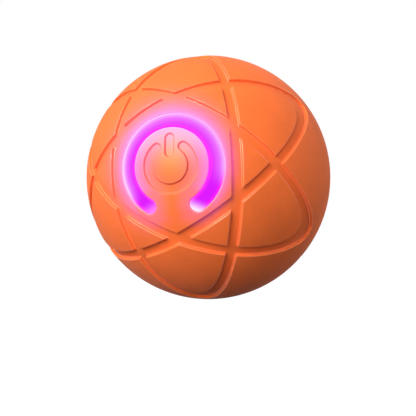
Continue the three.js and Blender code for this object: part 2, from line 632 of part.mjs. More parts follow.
function shellGasket() {
  const inner = shellInner + LIP_THICKNESS + PIECE_GAP;
  return tube(inner, inner + GASKET_WIDTH, -GASKET_THICKNESS / 2, GASKET_THICKNESS / 2, SHELL_STEPS);
}

// A round-headed screw that points along +Y, with its head's seat at the origin.
function screw(shankRadius, headRadius, length) {
  const headHeight = headRadius * HEAD_HEIGHT_SHARE;
  const driveRadius = headRadius * DRIVE_RADIUS_SHARE;
  const driveFloor = -headHeight + headHeight * DRIVE_DEPTH_SHARE;
  const profile = [
    new THREE.Vector2(0, driveFloor),
    new THREE.Vector2(driveRadius, -headHeight),
    new THREE.Vector2(headRadius * HEAD_CROWN_SHARE, -headHeight),
    new THREE.Vector2(headRadius, -headHeight / 2),
    new THREE.Vector2(headRadius, 0),
    new THREE.Vector2(shankRadius, 0),
    new THREE.Vector2(shankRadius, length - shankRadius),
    new THREE.Vector2(0, length),
  ];
  return turned(profile, BORE_STEPS);
}

const largeScrew = (length) => screw(LARGE_SHANK_RADIUS, LARGE_HEAD_RADIUS, length);
const smallScrew = (length) => screw(SMALL_SHANK_RADIUS, SMALL_HEAD_RADIUS, length);

// The main board, with its screw holes.
function circuitBoard() {
  let body = bar(boardRadius, boardFront, boardRear, SHELL_STEPS);
  for (const angle of around(BOARD_SCREW_COUNT, BOARD_SCREW_TURN)) {
    const [x, z] = onCircle(boardScrewCircle, angle);
    body = body.subtract(throughHole(x, z, boardFront, boardRear));
  }
  return body;
}

function throughHole(x, z, front, rear, radius = SMALL_SHANK_RADIUS + THREAD_GAP) {
  return bar(radius, front - CUT_OVERRUN, rear + CUT_OVERRUN).translate([x, 0, z]);
}

function switchBody() {
  const body = box(SWITCH_WIDTH, SWITCH_HEIGHT, SWITCH_WIDTH, 0, (switchFront + ledRear) / 2, 0);
  const floor = switchFront + STEM_POCKET_DEPTH;
  return body.subtract(bar(STEM_RADIUS + BORE_GAP, switchFront - CUT_OVERRUN, floor));
}

function switchStem() {
  const rear = switchFront + STEM_POCKET_DEPTH - stemTravel - BORE_GAP;
  return bar(STEM_RADIUS, stemFront, rear);
}

function batteryCell() {
  const outline = roundedRectangle(BATTERY_WIDTH, BATTERY_HEIGHT, BATTERY_CORNER);
  return prism(outline, batteryFront, batteryRear);
}

function gearCasePlate(front, rear) {
  const corner = PILLAR_RADIUS + PIECE_GAP;
  const width = 2 * (pillarX + corner);
  const height = pillarHigh - pillarLow + 2 * corner;
  const outline = roundedRectangle(width, height, corner);
  const plate = prism(outline, front, rear).translate([0, 0, axleDistance / 2]);
  return plate.add(prism(circle(0, axleDistance, wheelTip + PIECE_GAP), front, rear));
}

// The chassis: a disc across the ball, a sleeve for the motor and the front half of the gear case.
function chassis() {
  const motorRoom = MOTOR_RADIUS + PIECE_GAP;
  const pinionRoom = pinionPitchRadius + ADDENDUM_SHARE * GEAR_MODULE + PIECE_GAP;
  let body = bar(chassisRadius, chassisFront, chassisRear, SHELL_STEPS)
    .add(bar(podRadius, chassisFront, frontPlateRear, SHELL_STEPS))
    .add(gearCasePlate(frontPlateFront, frontPlateRear));
  for (const [x, z] of pillars) {
    const pillar = bar(PILLAR_RADIUS, frontPlateFront, rearPlateFront - PIECE_GAP);
    const pin = bar(PILLAR_PIN_RADIUS, frontPlateFront, rearPlateRear);
    body = body.add(pillar.add(pin).translate([x, 0, z]));
  }
  body = body
    .subtract(bar(motorRoom, chassisFront - CUT_OVERRUN, frontPlateFront, SHELL_STEPS))
    .subtract(bar(pinionRoom, frontPlateFront - CUT_OVERRUN, frontPlateRear + CUT_OVERRUN))
    .subtract(throughHole(0, axleDistance, frontPlateFront, frontPlateRear, SPINDLE_RADIUS + BORE_GAP));
  for (const angle of around(CHASSIS_SCREW_COUNT, CHASSIS_SCREW_TURN)) {
    const [x, z] = onCircle(chassisScrewCircle, angle);
    const sink = bar(SMALL_HEAD_RADIUS + PIECE_GAP, chassisRear - CHASSIS_SINK, chassisRear + CUT_OVERRUN);
    body = body.subtract(throughHole(x, z, chassisFront, chassisRear)).subtract(sink.translate([x, 0, z]));
  }
  const channelLength = 2 * (motorLeadReach + LEAD_RADIUS + PIECE_GAP);
  const channelWidth = 2 * (LEAD_RADIUS + PIECE_GAP);
  const channelMiddle = chassisFront + (leadChannel - CUT_OVERRUN) / 2;
  return body.subtract(box(channelLength, leadChannel + CUT_OVERRUN, channelWidth, 0, channelMiddle, 0));
}

function motorCan() {
  const inner = MOTOR_RADIUS - MOTOR_WALL;
  return bar(MOTOR_RADIUS, canFront, canRear, SHELL_STEPS)
    .subtract(bar(inner, canFront - CUT_OVERRUN, canRear - MOTOR_WALL, SHELL_STEPS))
    .subtract(bar(MOTOR_SHAFT_RADIUS + BORE_GAP, canFront, canRear + CUT_OVERRUN));
}

function motorEndCap() {
  const bearing = tube(
    MOTOR_SHAFT_RADIUS + BORE_GAP,
    MOTOR_BEARING_RADIUS,
    endCapRear - BORE_GAP,
    canFront + MOTOR_BEARING_LENGTH,
  );
  const depth = 2 * LEAD_RADIUS + PIECE_GAP;
  let body = bar(MOTOR_RADIUS, endCapFront, endCapRear, SHELL_STEPS).add(bearing);
  for (const x of [-TAB_REACH, TAB_REACH])
    body = body.add(box(TAB_WIDTH, depth, TAB_WIDTH, x, endCapFront - depth / 2 + BORE_GAP, 0));
  return body;
}

function motorRotor() {
  const middle = (canFront + canRear) / 2;
  const shaftFront = endCapRear + BORE_GAP;
  const shaftRear = planeFront(0) + GEAR_FACE;
  const half = ARMATURE_LENGTH / 2;
  const armature = bar(ARMATURE_RADIUS, middle - half, middle + half, SHELL_STEPS);
  return armature.add(bar(MOTOR_SHAFT_RADIUS, shaftFront, shaftRear));
}

// The outline of a gear with a tooth centred on an angle in degrees from +X. Each flank is straight
// between its involute's two ends.
function gearOutline(teeth, toothAngle) {
  const pitch = (GEAR_MODULE * teeth) / 2;
  const pressure = radians(PRESSURE_ANGLE);
  const base = pitch * Math.cos(pressure);
  const tip = pitch + ADDENDUM_SHARE * GEAR_MODULE;
  const root = pitch - DEDENDUM_SHARE * GEAR_MODULE;
  const involute = (angle) => Math.tan(angle) - angle;
  const halfThickness = (radius) => {
    const angle = Math.acos(base / Math.max(radius, base));
    return QUARTER_TURN / teeth - BACKLASH / (2 * pitch) + involute(pressure) - involute(angle);
  };
  return around(teeth, toothAngle).flatMap((middle) =>
    [
      [root, -1],
      [tip, -1],
      [tip, 1],
      [root, 1],
    ].map(([radius, side]) => {
      const angle = radians(middle) + side * halfThickness(radius);
      return new THREE.Vector2(radius * Math.cos(angle), radius * Math.sin(angle));
    }),
  );
}

function drilled(body, radius) {
  return body.subtract(bar(radius, -BALL_RADIUS, BALL_RADIUS));
}

// A wheel with a pinion behind it. A wheel has a gap, and a pinion a tooth, on the line to its mate.
function compoundGear(toMate) {
  const wheel = prism(gearOutline(WHEEL_TEETH, toMate + 180 / WHEEL_TEETH), 0, GEAR_FACE);
  const pinion = prism(gearOutline(PINION_TEETH, toMate), 0, gearPitch + GEAR_FACE);
  return drilled(wheel.add(pinion), SPINDLE_RADIUS + BORE_GAP);
}

function motorPinion() {
  const front = frontPlateFront - planeFront(0);
  return drilled(prism(gearOutline(PINION_TEETH, 90), front, GEAR_FACE), MOTOR_SHAFT_RADIUS + BORE_GAP);
}

function outputGear() {
  const wheel = prism(gearOutline(WHEEL_TEETH, 90 + 180 / WHEEL_TEETH), 0, GEAR_FACE);
  return drilled(wheel, OUTPUT_SHAFT_RADIUS + BORE_GAP);
}

function gearSpindle() {
  return bar(SPINDLE_RADIUS, frontPlateFront, rearPlateRear);
}

function gearPlate() {
  let body = gearCasePlate(rearPlateFront, rearPlateRear);
  const pinHole = PILLAR_PIN_RADIUS + BORE_GAP;
  for (const [x, z] of pillars)
    body = body.subtract(throughHole(x, z, rearPlateFront, rearPlateRear, pinHole));
  return body
    .subtract(throughHole(0, 0, rearPlateFront, rearPlateRear, OUTPUT_SHAFT_RADIUS + BORE_GAP))
    .subtract(throughHole(0, axleDistance, rearPlateFront, rearPlateRear, SPINDLE_RADIUS + BORE_GAP));
}

// The part of a round shaft or bore that lies above its flat.
function aboveFlat(height, front, rear) {
  const size = 2 * OUTPUT_SHAFT_RADIUS;
  return box(2 * size, rear - front, size, 0, (front + rear) / 2, height + size / 2);
}

function outputShaft() {
  return bar(SPINDLE_RADIUS, planeFront(1), planeFront(GEAR_STEP_COUNT - 1) + CUT_OVERRUN)
    .add(bar(OUTPUT_SHAFT_RADIUS, planeFront(GEAR_STEP_COUNT - 1), bridgeRear + PIECE_GAP))
    .subtract(aboveFlat(SHAFT_FLAT, armFront, hubRear));
}

function swingArm() {
  const outer = weightScrewCircle + LARGE_HEAD_RADIUS + PIECE_GAP;
  const low = -90 - ARM_SPREAD_ANGLE;
  const high = -90 + ARM_SPREAD_ANGLE;
  const outline = [
    ...arc(0, 0, outer, low, high, LARGE_ARC_STEP),
    ...arc(0, 0, HUB_RADIUS, HUB_OPEN_ANGLE, 180 - HUB_OPEN_ANGLE, LARGE_ARC_STEP),
  ];
  const bore = OUTPUT_SHAFT_RADIUS + BORE_GAP;
  const keyedBore = bar(bore, armFront - CUT_OVERRUN, hubRear + CUT_OVERRUN).subtract(
    aboveFlat(SHAFT_FLAT + BORE_GAP, armFront - 2 * CUT_OVERRUN, hubRear + 2 * CUT_OVERRUN),
  );
  let body = prism(outline, armFront, armRear)
    .add(bar(HUB_RADIUS, armFront, hubRear, SHELL_STEPS))
    .subtract(keyedBore);
  for (const angle of [-90 - WEIGHT_SCREW_ANGLE, -90 + WEIGHT_SCREW_ANGLE]) {
    const [x, z] = onCircle(weightScrewCircle, angle);
    const [holeX, holeZ] = onCircle((HUB_RADIUS + weightScrewCircle) / 2, angle);
    body = body
      .subtract(throughHole(x, z, armFront, armRear, LARGE_SHANK_RADIUS + THREAD_GAP))
      .subtract(throughHole(holeX, holeZ, armFront, armRear, ARM_HOLE_RADIUS));
  }
  return body;
}

// The heavy half ring that hangs below the axle.
function swingWeight() {
  const from = -90 - WEIGHT_HALF_ANGLE;
  const to = -90 + WEIGHT_HALF_ANGLE;
  const outline = [
    ...arc(0, 0, weightOuter, from, to, LARGE_ARC_STEP),
    ...arc(0, 0, weightInner, to, from, LARGE_ARC_STEP),
  ];
  let body = prism(outline, weightRear - WEIGHT_LENGTH, weightRear);
  for (const angle of [-90 - WEIGHT_SCREW_ANGLE, -90 + WEIGHT_SCREW_ANGLE]) {
    const [x, z] = onCircle(weightScrewCircle, angle);
    const holeFloor = weightRear - WEIGHT_HOLE_DEPTH;
    const hole = bar(LARGE_SHANK_RADIUS + THREAD_GAP, holeFloor, weightRear + CUT_OVERRUN);
    body = body.subtract(hole.translate([x, 0, z]));
  }
  return body;
}

function shaftBridge() {
  const length = 2 * (BRIDGE_REACH + BRIDGE_WIDTH / 2);
  let body = prism(roundedRectangle(length, BRIDGE_WIDTH, BRIDGE_WIDTH / 2), bridgeFront, bridgeRear)
    .add(bar(BRIDGE_HUB_RADIUS, bridgeFront, bridgeRear, SHELL_STEPS))
    .subtract(throughHole(0, 0, bridgeFront, bridgeRear, bushOuter + BORE_GAP));
  for (const x of [-BRIDGE_REACH, BRIDGE_REACH]) {
    const sink = bar(SMALL_HEAD_RADIUS + PIECE_GAP, bridgeFront - CUT_OVERRUN, bridgeFront + BRIDGE_SINK);
    body = body.subtract(throughHole(x, 0, bridgeFront, bridgeRear)).subtract(sink.translate([x, 0, 0]));
  }
  return body;
}

function chargeBoard() {
  let body = bar(CHARGE_BOARD_RADIUS, chargeBoardFront, chargeBoardRear, SHELL_STEPS);
  for (const x of [-CHARGE_SCREW_REACH, CHARGE_SCREW_REACH])
    body = body.subtract(throughHole(x, 0, chargeBoardFront, chargeBoardRear));
  return body;
}

// The outline of the charging socket, brought in by an inset on every side.
function socketOutline(inset) {
  const height = SOCKET_HEIGHT - 2 * inset;
  return roundedRectangle(SOCKET_WIDTH - 2 * inset, height, height / 2 - BORE_GAP);
}

function socketShell() {
  const opening = prism(socketOutline(SOCKET_WALL), socketBase - CUT_OVERRUN, socketMouth + CUT_OVERRUN);
  return prism(socketOutline(0), socketBase, socketMouth).subtract(opening);
}

function socketTongue() {
  const base = prism(socketOutline(SOCKET_WALL + BORE_GAP), socketBase, socketBase + SOCKET_BASE_LENGTH);
  const length = socketMouth - SOCKET_TONGUE_SINK - socketBase;
  return base.add(box(SOCKET_TONGUE_WIDTH, length, SOCKET_TONGUE_THICKNESS, 0, socketBase + length / 2, 0));
}

// A lead along a smooth route.
function lead(points) {
  const route = new THREE.CatmullRomCurve3(points.map((point) => new THREE.Vector3(...point)));
  const steps = Math.round(route.getLength() / (LEAD_STEP_SHARE * LEAD_RADIUS));
  const section = new THREE.Shape(arc(0, 0, LEAD_RADIUS, 0, 360, 360 / LEAD_SIDES).slice(1));
  return solid(new THREE.ExtrudeGeometry(section, { extrudePath: route, steps, bevelEnabled: false }));
}

// From the motor's tab along the chassis's channel, round the battery's side and on to the main board.
function motorLead(side) {
  const depth = chassisFront + LEAD_RADIUS;
  const start = TAB_REACH + TAB_WIDTH / 2 + PIECE_GAP;
  return lead([
    [side * start, depth, 0],
    [side * (start + motorLeadReach) / 2, depth, 0],
    [side * (motorLeadReach - leadBend), depth, 0],
    [side * motorLeadReach, depth - leadBend, 0],
    [side * motorLeadReach, (depth + boardLeadEnd) / 2, 0],
    [side * motorLeadReach, boardLeadEnd, 0],
  ]);
}

// From the battery's top edge over to the main board.
function batteryLead(side) {
  const x = (side * LEAD_PITCH) / 2;
  const middle = (batteryFront + batteryRear) / 2;
  const top = BATTERY_HEIGHT / 2 + PIECE_GAP;
  const high = boardRadius - leadBend;
  return lead([
    [x, middle, top],
    [x, middle - LEAD_RADIUS, (top + high) / 2],
    [x, (middle + batteryFront) / 2, high],
    [x, batteryFront, high],
    [x, boardLeadEnd, high],
  ]);
}

// From the charging board out to the shell's wall, along it across the seam, and in to the main board.
function chargeLead(side) {
  const wall = shellInner - LEAD_WALL_CLEARANCE - LEAD_RADIUS;
  const onWall = CHARGE_LEAD_WALL_ANGLES.map((angle) => [
    wall * Math.sin(radians(angle)),
    wall * Math.cos(radians(angle)),
  ]);
  const rearEnd = chargeBoardFront - PIECE_GAP;
  const frontReach = boardRadius - 2 * LEAD_RADIUS;
  const route = [
    [CHARGE_BOARD_RADIUS - 2 * leadBend, rearEnd],
    [CHARGE_BOARD_RADIUS - leadBend, rearEnd - leadBend],
    [(CHARGE_BOARD_RADIUS + onWall[0][0]) / 2, rearEnd - leadBend],
    ...onWall,
    [frontReach + leadBend, batteryFront - LEAD_RADIUS],
    [frontReach, boardLeadEnd + 2 * LEAD_RADIUS],
    [frontReach, boardLeadEnd],
  ];
  const across = (side * LEAD_PITCH) / 2;
  const turn = radians(CHARGE_LEAD_TURN);
  return lead(
    route.map(([reach, y]) => [
      reach * Math.cos(turn) - across * Math.sin(turn),
      y,
      reach * Math.sin(turn) + across * Math.cos(turn),
    ]),
  );
}

function placed(mesh, x, y, z, direction = 1) {
  mesh.position.set(x, y, z);
  if (direction < 0) mesh.rotation.x = Math.PI;
  return mesh;
}

const ball = new THREE.Group();

const covers = new THREE.Group();
covers.add(piece("front_cover", frontCover(), ORANGE_SILICONE));
covers.add(piece("rear_cover", rearCover(), ORANGE_SILICONE));
covers.add(piece("power_button", powerButton(), ORANGE_SILICONE));
covers.add(piece("light_ring", lightRing(), CLEAR_PURPLE));
ball.add(covers);

const shells = new THREE.Group();
shells.add(piece("front_shell", frontShell(), WARM_WHITE));
shells.add(piece("rear_shell", rearShell(), WARM_WHITE));
shells.add(piece("shell_gasket", shellGasket(), DARK_GREY));
around(SHELL_BOSS_COUNT, SHELL_BOSS_TURN).forEach((angle, i) => {
  const [x, z] = onCircle(bossCircle, angle);
  const mesh = piece("shell_screw_" + (i + 1), largeScrew(SHELL_SCREW_LENGTH), STEEL);
  shells.add(placed(mesh, x, SHELL_SCREW_SEAT + PIECE_GAP, z, -1));
});
ball.add(shells);

const electronics = new THREE.Group();
electronics.add(piece("circuit_board", circuitBoard(), BOARD_GREEN));
electronics.add(piece("switch_body", switchBody(), BLACK));
electronics.add(piece("switch_stem", switchStem(), LIGHT_GREY));
const ledStep = (360 - 2 * RING_GAP_ANGLE) / LED_COUNT;
for (let i = 0; i < LED_COUNT; i++) {
  const angle = -90 + RING_GAP_ANGLE + ledStep * (i + 0.5);
  const [x, z] = onCircle((ringInner + RING_OUTER_RADIUS) / 2, angle);
  const mesh = piece("led_" + (i + 1), box(LED_LENGTH, LED_HEIGHT, LED_WIDTH, 0, 0, 0), CLEAR_PURPLE);
  mesh.position.set(x, (ledFront + ledRear) / 2, z);
  mesh.rotation.y = -radians(angle);
  electronics.add(mesh);
}
const chipMiddle = boardLeadEnd + CHIP_HEIGHT / 2;
const chip = box(CHIP_WIDTH, CHIP_HEIGHT, CHIP_WIDTH, CHIP_OFFSET, chipMiddle, 0);
electronics.add(piece("control_chip", chip, BLACK));
const sensor = box(SENSOR_WIDTH, CHIP_HEIGHT, SENSOR_WIDTH, SENSOR_OFFSET, chipMiddle, 0);
electronics.add(piece("motion_sensor", sensor, LIGHT_GREY));
around(BOARD_SCREW_COUNT, BOARD_SCREW_TURN).forEach((angle, i) => {
  const [x, z] = onCircle(boardScrewCircle, angle);
  const mesh = piece("board_screw_" + (i + 1), smallScrew(BOARD_SCREW_LENGTH), STEEL);
  electronics.add(placed(mesh, x, boardRear + PIECE_GAP, z, -1));
});
electronics.add(piece("battery_cell", batteryCell(), SILVER_FOIL));
electronics.add(piece("charge_board", chargeBoard(), BOARD_GREEN));
electronics.add(piece("charge_socket", socketShell(), STEEL));
electronics.add(piece("socket_tongue", socketTongue(), BLACK));
[-CHARGE_SCREW_REACH, CHARGE_SCREW_REACH].forEach((x, i) => {
  const mesh = piece("charge_screw_" + (i + 1), smallScrew(CHARGE_SCREW_LENGTH), STEEL);
  electronics.add(placed(mesh, x, chargeBoardFront - PIECE_GAP, 0));
});
for (const [side, colour, finish] of [
  [-1, "red", RED],
  [1, "black", BLACK],
]) {
  electronics.add(piece("battery_lead_" + colour, batteryLead(side), finish));
  electronics.add(piece("charge_lead_" + colour, chargeLead(side), finish));
  electronics.add(piece("motor_lead_" + colour, motorLead(side), finish));
}
ball.add(electronics);

const drive = new THREE.Group();
drive.add(piece("chassis", chassis(), DARK_GREY));
around(CHASSIS_SCREW_COUNT, CHASSIS_SCREW_TURN).forEach((angle, i) => {
  const [x, z] = onCircle(chassisScrewCircle, angle);
  const mesh = piece("chassis_screw_" + (i + 1), smallScrew(CHASSIS_SCREW_LENGTH), STEEL);
  drive.add(placed(mesh, x, chassisScrewSeat, z, -1));
});
drive.add(piece("motor_can", motorCan(), STEEL));
drive.add(piece("motor_end_cap", motorEndCap(), BLACK));
drive.add(piece("motor_rotor", motorRotor(), STEEL));
drive.add(placed(piece("motor_pinion", motorPinion(), BRASS), 0, planeFront(0), 0));
drive.add(placed(piece("first_gear", compoundGear(-90), WARM_WHITE), 0, planeFront(0), axleDistance));
drive.add(placed(piece("second_gear", compoundGear(90), WARM_WHITE), 0, planeFront(1), 0));
drive.add(placed(piece("third_gear", compoundGear(-90), WARM_WHITE), 0, planeFront(2), axleDistance));
drive.add(placed(piece("gear_spindle", gearSpindle(), STEEL), 0, 0, axleDistance));
drive.add(piece("gear_plate", gearPlate(), DARK_GREY));
drive.add(piece("shaft_bridge", shaftBridge(), DARK_GREY));
const bush = tube(OUTPUT_SHAFT_RADIUS + BORE_GAP, bushOuter, bridgeFront - BORE_GAP, bridgeRear);
drive.add(piece("bridge_bush", bush, BRASS));
[-BRIDGE_REACH, BRIDGE_REACH].forEach((x, i) => {
  const mesh = piece("bridge_screw_" + (i + 1), smallScrew(BRIDGE_SCREW_LENGTH), STEEL);
  drive.add(placed(mesh, x, bridgeFront + BRIDGE_SINK - PIECE_GAP, 0));
});
ball.add(drive);

const swing = new THREE.Group();
swing.add(placed(piece("output_gear", outputGear(), WARM_WHITE), 0, planeFront(GEAR_STEP_COUNT - 1), 0));
swing.add(piece("output_shaft", outputShaft(), STEEL));
swing.add(piece("swing_arm", swingArm(), STEEL));
swing.add(piece("swing_weight", swingWeight(), ZINC));
[-90 - WEIGHT_SCREW_ANGLE, -90 + WEIGHT_SCREW_ANGLE].forEach((angle, i) => {
  const [x, z] = onCircle(weightScrewCircle, angle);
  const mesh = piece("weight_screw_" + (i + 1), largeScrew(WEIGHT_SCREW_LENGTH), STEEL);
  swing.add(placed(mesh, x, armRear + PIECE_GAP, z, -1));
});
ball.add(swing);

export default ball;
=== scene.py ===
import json
import math
from functools import partialmethod

import bmesh
import bpy
import numpy as np
from mathutils import Matrix, Vector, geometry


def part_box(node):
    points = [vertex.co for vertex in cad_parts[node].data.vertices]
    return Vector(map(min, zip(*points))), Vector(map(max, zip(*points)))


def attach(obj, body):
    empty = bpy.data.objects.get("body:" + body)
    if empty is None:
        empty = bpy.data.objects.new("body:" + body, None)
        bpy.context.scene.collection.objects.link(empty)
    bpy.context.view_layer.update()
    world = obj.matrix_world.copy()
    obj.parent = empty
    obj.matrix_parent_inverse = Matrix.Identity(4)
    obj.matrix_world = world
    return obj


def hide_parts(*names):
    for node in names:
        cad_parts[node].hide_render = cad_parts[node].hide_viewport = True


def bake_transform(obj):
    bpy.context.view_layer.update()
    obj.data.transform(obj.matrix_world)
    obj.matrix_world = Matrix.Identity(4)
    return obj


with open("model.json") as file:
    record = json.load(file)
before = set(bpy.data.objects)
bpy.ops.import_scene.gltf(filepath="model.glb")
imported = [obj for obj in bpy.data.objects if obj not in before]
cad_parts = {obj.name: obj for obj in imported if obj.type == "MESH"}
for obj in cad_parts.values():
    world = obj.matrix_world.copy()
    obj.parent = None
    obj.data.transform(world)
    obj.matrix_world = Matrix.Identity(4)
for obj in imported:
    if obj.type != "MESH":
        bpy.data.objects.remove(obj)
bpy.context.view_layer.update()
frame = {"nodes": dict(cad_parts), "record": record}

bl_info = {
    "name": "Self Rolling Cat Ball",
    "version": (1, 0, 0),
    "blender": (4, 5, 0),
    "location": "3D View > Sidebar > Cat Ball",
    "description": "Builds a soft rolling ball for cats with a lit power button",
    "category": "Object",
}

MM = 0.001
FRONT = -1
REAR = 1

# The ball, in millimetres
BALL_RADIUS = -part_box("power_button")[0][1] / MM
INNER_RADIUS = BALL_RADIUS - 3.0
SEAM_PLACE = (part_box("front_cover")[1][1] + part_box("rear_cover")[0][1]) / 2 / MM
SEAM_EDGE = 0.15

# The meshes: spacings in millimetres and the shares of them that stay clear beside a drawn line, the steps of
# arcs and fillets in degrees, and how many fillets from a wall its last line lies. The grooves' lines are
# fitted in a few rounds, with limits that keep the sums finite.
SKIN_SPACING = 1.0
BUTTON_SPACING = 0.8
INNER_SPACING = 3.0
CLEAR_SHARE = 0.45
INNER_CLEAR_SHARE = 0.4
ARC_STEP = 2.5
CAP_STEP = 9.0
FILLET_STEPS = (0, 28, 58, 90)
BESIDE_FILLET = 1.4
CORNER_ANGLE = 50
INSERT_CORNER_ANGLE = 40
SEAM_POINTS = 300
LOOP_POINTS = 240
LOOP_FITS = 5
LEAST_SIZE = 1e-9
LEAST_STEEPNESS = 1e-3
SAME_PLACE = 1e-7

# The looped grooves: the half axes of their edges as shares of the ball's radius, seen along the button's
# axis, how far past the ball's widest place they matter, and the lean of their walls in millimetres
LOOP_COUNT = 3
LOOP_EDGE_SHARES = ((0.4271, 0.9243), (0.4983, 0.981))
PAST_MIDDLE = 0.05
WALL_LEAN = 0.04

# The light ring, in millimetres and degrees
RING_MIDDLE = 9.95
RING_HALF_WIDTH = 1.55
RING_GAP_DIRECTION = -90.0
RING_GAP_ANGLE = 32.5
RING_EDGE = 0.28
HOLE_HALF_WIDTH = RING_HALF_WIDTH + 0.04
FLANGE_THICKNESS = 0.8
WASHER_BEVEL = 0.1
WASHER_POINTS = 72

# The sunk power mark, in millimetres and degrees
MARK_MIDDLE = 4.95
MARK_HALF_WIDTH = 0.99
MARK_GAP_DIRECTION = 90.0
MARK_GAP_ANGLE = 37.0
MARK_DEPTH = 0.45
MARK_LEAN = 0.2
MARK_EDGE = 0.12
TICK_HALF_WIDTH = 0.965
TICK_TOP = 6.95
TICK_BOTTOM = 1.87

# The charging port, in millimetres. The tongue's and the contacts' tips are rows of places behind the end of
# the tongue, with how much narrower and thinner the tongue is there, or how far the contacts stand out.
PORT_WIDTH = 12.5
PORT_HEIGHT = 6.6
PORT_CORNER = 1.8
PORT_EDGE = 0.3
SOCKET_WIDTH = 8.94
SOCKET_HEIGHT = 3.26
SOCKET_FLAT = 0.02
SOCKET_WALL = 0.3
SOCKET_ROLL = 0.12
SOCKET_ROLL_BULGE = 0.036
TONGUE_WIDTH = 6.7
TONGUE_HALF_THICKNESS = 0.35
TONGUE_ROUNDING = 0.6
TONGUE_BASE_LENGTH = 1.9
TONGUE_BASE_GAP = 0.1
TONGUE_BASE_BEVEL = 0.15
TONGUE_ROOT = 0.5
TONGUE_TIP = ((0.35, 0.0, 0.0), (0.1, 0.12, 0.06), (0.0, 0.4, 0.16))
CONTACT_COUNT = 12
CONTACT_PITCH = 0.5
CONTACT_WIDTH = 0.26
CONTACT_ROOT = 0.2
CONTACT_LIFT = 0.03
CONTACT_TIP = ((0.8, CONTACT_LIFT), (0.6, 0.0))

# The ring's light in the skin, in millimetres. Its reach grows by shares of the way upwards and to the left,
# and its power by the millimetre upwards. It is stronger in the button and weaker on a groove's wall and near
# the ring's ends, and turns paler between two heights, which also paints the lamps' highlight on the button's
# top. The least reaches keep the sums finite.
LEAST_REACH = 0.1
LEAST_GLOW_REACH = 1.3
GLOW_FALL = 1.3
GLOW_RISE = 0.03
GLOW_RISE_IN_BUTTON = 0.24
GLOW_LEAN = -0.045
GLOW_POWER = 0.82
GLOW_POWER_RISE = 0.015
GLOW_POWER_IN_BUTTON = 0.15
GLOW_IN_GROOVE = 0.4
GLOW_AND_HIGHLIGHT_PALES = (-1.0, 7.0)
END_DIMMING = 0.55
END_DIMS = (4.2, 2.2)

# The skin's roughness and specular level, where it is flat and on the grooves' rounded edges, and how far
# these edges face outwards where they begin and end. Its sheen's weight and roughness, the painted shade that
# darkens the power mark's walls and how far they face outwards, and the place and reach in millimetres of a
# highlight painted on the button's top.
FLAT_GLOSS = (0.75, 0.1)
EDGE_GLOSS = (0.18, 0.7)
EDGE_BEGINS = (0.98, 0.82)
EDGE_ENDS = (0.1, 0.5)
SHEEN = (0.07, 0.45)
MARK_PAINTED_SHADE = 0.85
WALL_FACES = (0.2, 0.95)
PAINTED_HIGHLIGHT_SPOT = (0.9, -29.8, 2.9)
PAINTED_HIGHLIGHT_SPOT_REACH = 6.2

# The lit ring's colours: the direction of its deepest part and how it begins, the share of the highlight
# painted along its outer edge at places across the ring, the shift of these to one side, and the way, reach
# in millimetres and rise of the highlight painted at its ends
LENS_DEEP_DIRECTION = -80.0
LENS_DEEPENS = (0.2, 0.62)
LENS_EDGE_HIGHLIGHT_SHARES = ((0.25, 0.0), (0.62, 0.13), (0.88, 0.43), (1.0, 1.0))
LENS_SIDE_SHIFT = 0.06
LENS_END_WAY = (-0.45, -0.9)
LENS_END_REACH = 2.1
LENS_END_RISE = 2.5

# The stage, in metres and degrees, but its floor in millimetres. A lamp has a name, a direction from the
# ball's centre, a size and a power in watts.
FLOOR_REACH = 3000.0
FLOOR_WHITE = 1.14
FLOOR_SHADE = 0.12
LAMP_DISTANCE = 0.6
LAMPS = (
    ("key", (-0.30, -0.88, 0.37), 0.12, 1.20),
    ("soft key", (-0.30, -0.88, 0.37), 0.80, 3.80),
    ("upper left", (-0.48, -0.31, 0.82), 0.60, 1.90),
    ("right", (0.84, 0.41, 0.35), 0.50, 1.50),
    ("front", (0.17, -0.99, 0.02), 0.60, 2.40),
    ("rear fill", (-0.27, 0.96, 0.10), 0.12, 1.40),
)
CAMERA_AZIMUTH = 15.78
CAMERA_ELEVATION = -5.59
CAMERA_LEAN = -1.99
CAMERA_DISTANCE = 0.1789
CAMERA_LENS = 62.02
CAMERA_SHIFT = (-0.0011, -0.0738)

# The material made for each of the record's slots
SLOT_FINISHES = {}


def length_property(name, description, length):
    """A length that a user can change, from its default in millimetres."""
    return bpy.props.FloatProperty(name=name, description=description, default=length * MM, unit="LENGTH")


def colour_property(name, description, colour):
    return bpy.props.FloatVectorProperty(name=name, description=description, default=colour, subtype="COLOR")


class CatBallSizes(bpy.types.PropertyGroup):
    groove_depth: length_property("Groove depth", "Depth of the looped grooves", 0.78)
    groove_fillet: length_property("Groove fillet", "Rounding of the grooves' edges", 0.2)
    seam_gap: length_property("Seam gap", "Gap between the two soft covers", 0.1)
    glow_reach: length_property("Glow reach", "How far the ring's light soaks into the cover", 2.05)
    button_glow_reach: length_property("Button glow reach", "How far it soaks into the button", 3.15)


class CatBallColours(bpy.types.PropertyGroup):
    skin: colour_property("Skin", "Colour of the soft covers", (0.94, 0.17, 0.035))
    # The colour of the highlight painted on the button's top
    painted_highlight_skin: colour_property("Bright skin", "Colour of the button's brightest place", (0.94, 0.285, 0.08))
    glow: colour_property("Glow", "Colour of the light in the skin", (0.6, 0.05, 0.78))
    # The pale glow is the ring's light together with a painted highlight on the button's top
    pale_glow_and_highlight: colour_property("Pale glow", "Colour of the light in the button's top", (0.8, 0.23, 0.76))
    ring_inner: colour_property("Ring inner edge", "Colour of the lit ring's inner edge", (0.95, 0.01, 0.95))
    ring_core: colour_property("Ring core", "Colour of the lit ring", (0.7, 0.026, 1.0))
    ring_edge: colour_property("Ring edge", "Colour of the lit ring's outer edge", (1.0, 0.86, 1.0))
    ring_deep: colour_property("Ring depth", "Colour of the lit ring's lower arms", (0.65, 0.002, 1.0))


# Shapes drawn in the button's plane, seen from the front: x to the right, z up


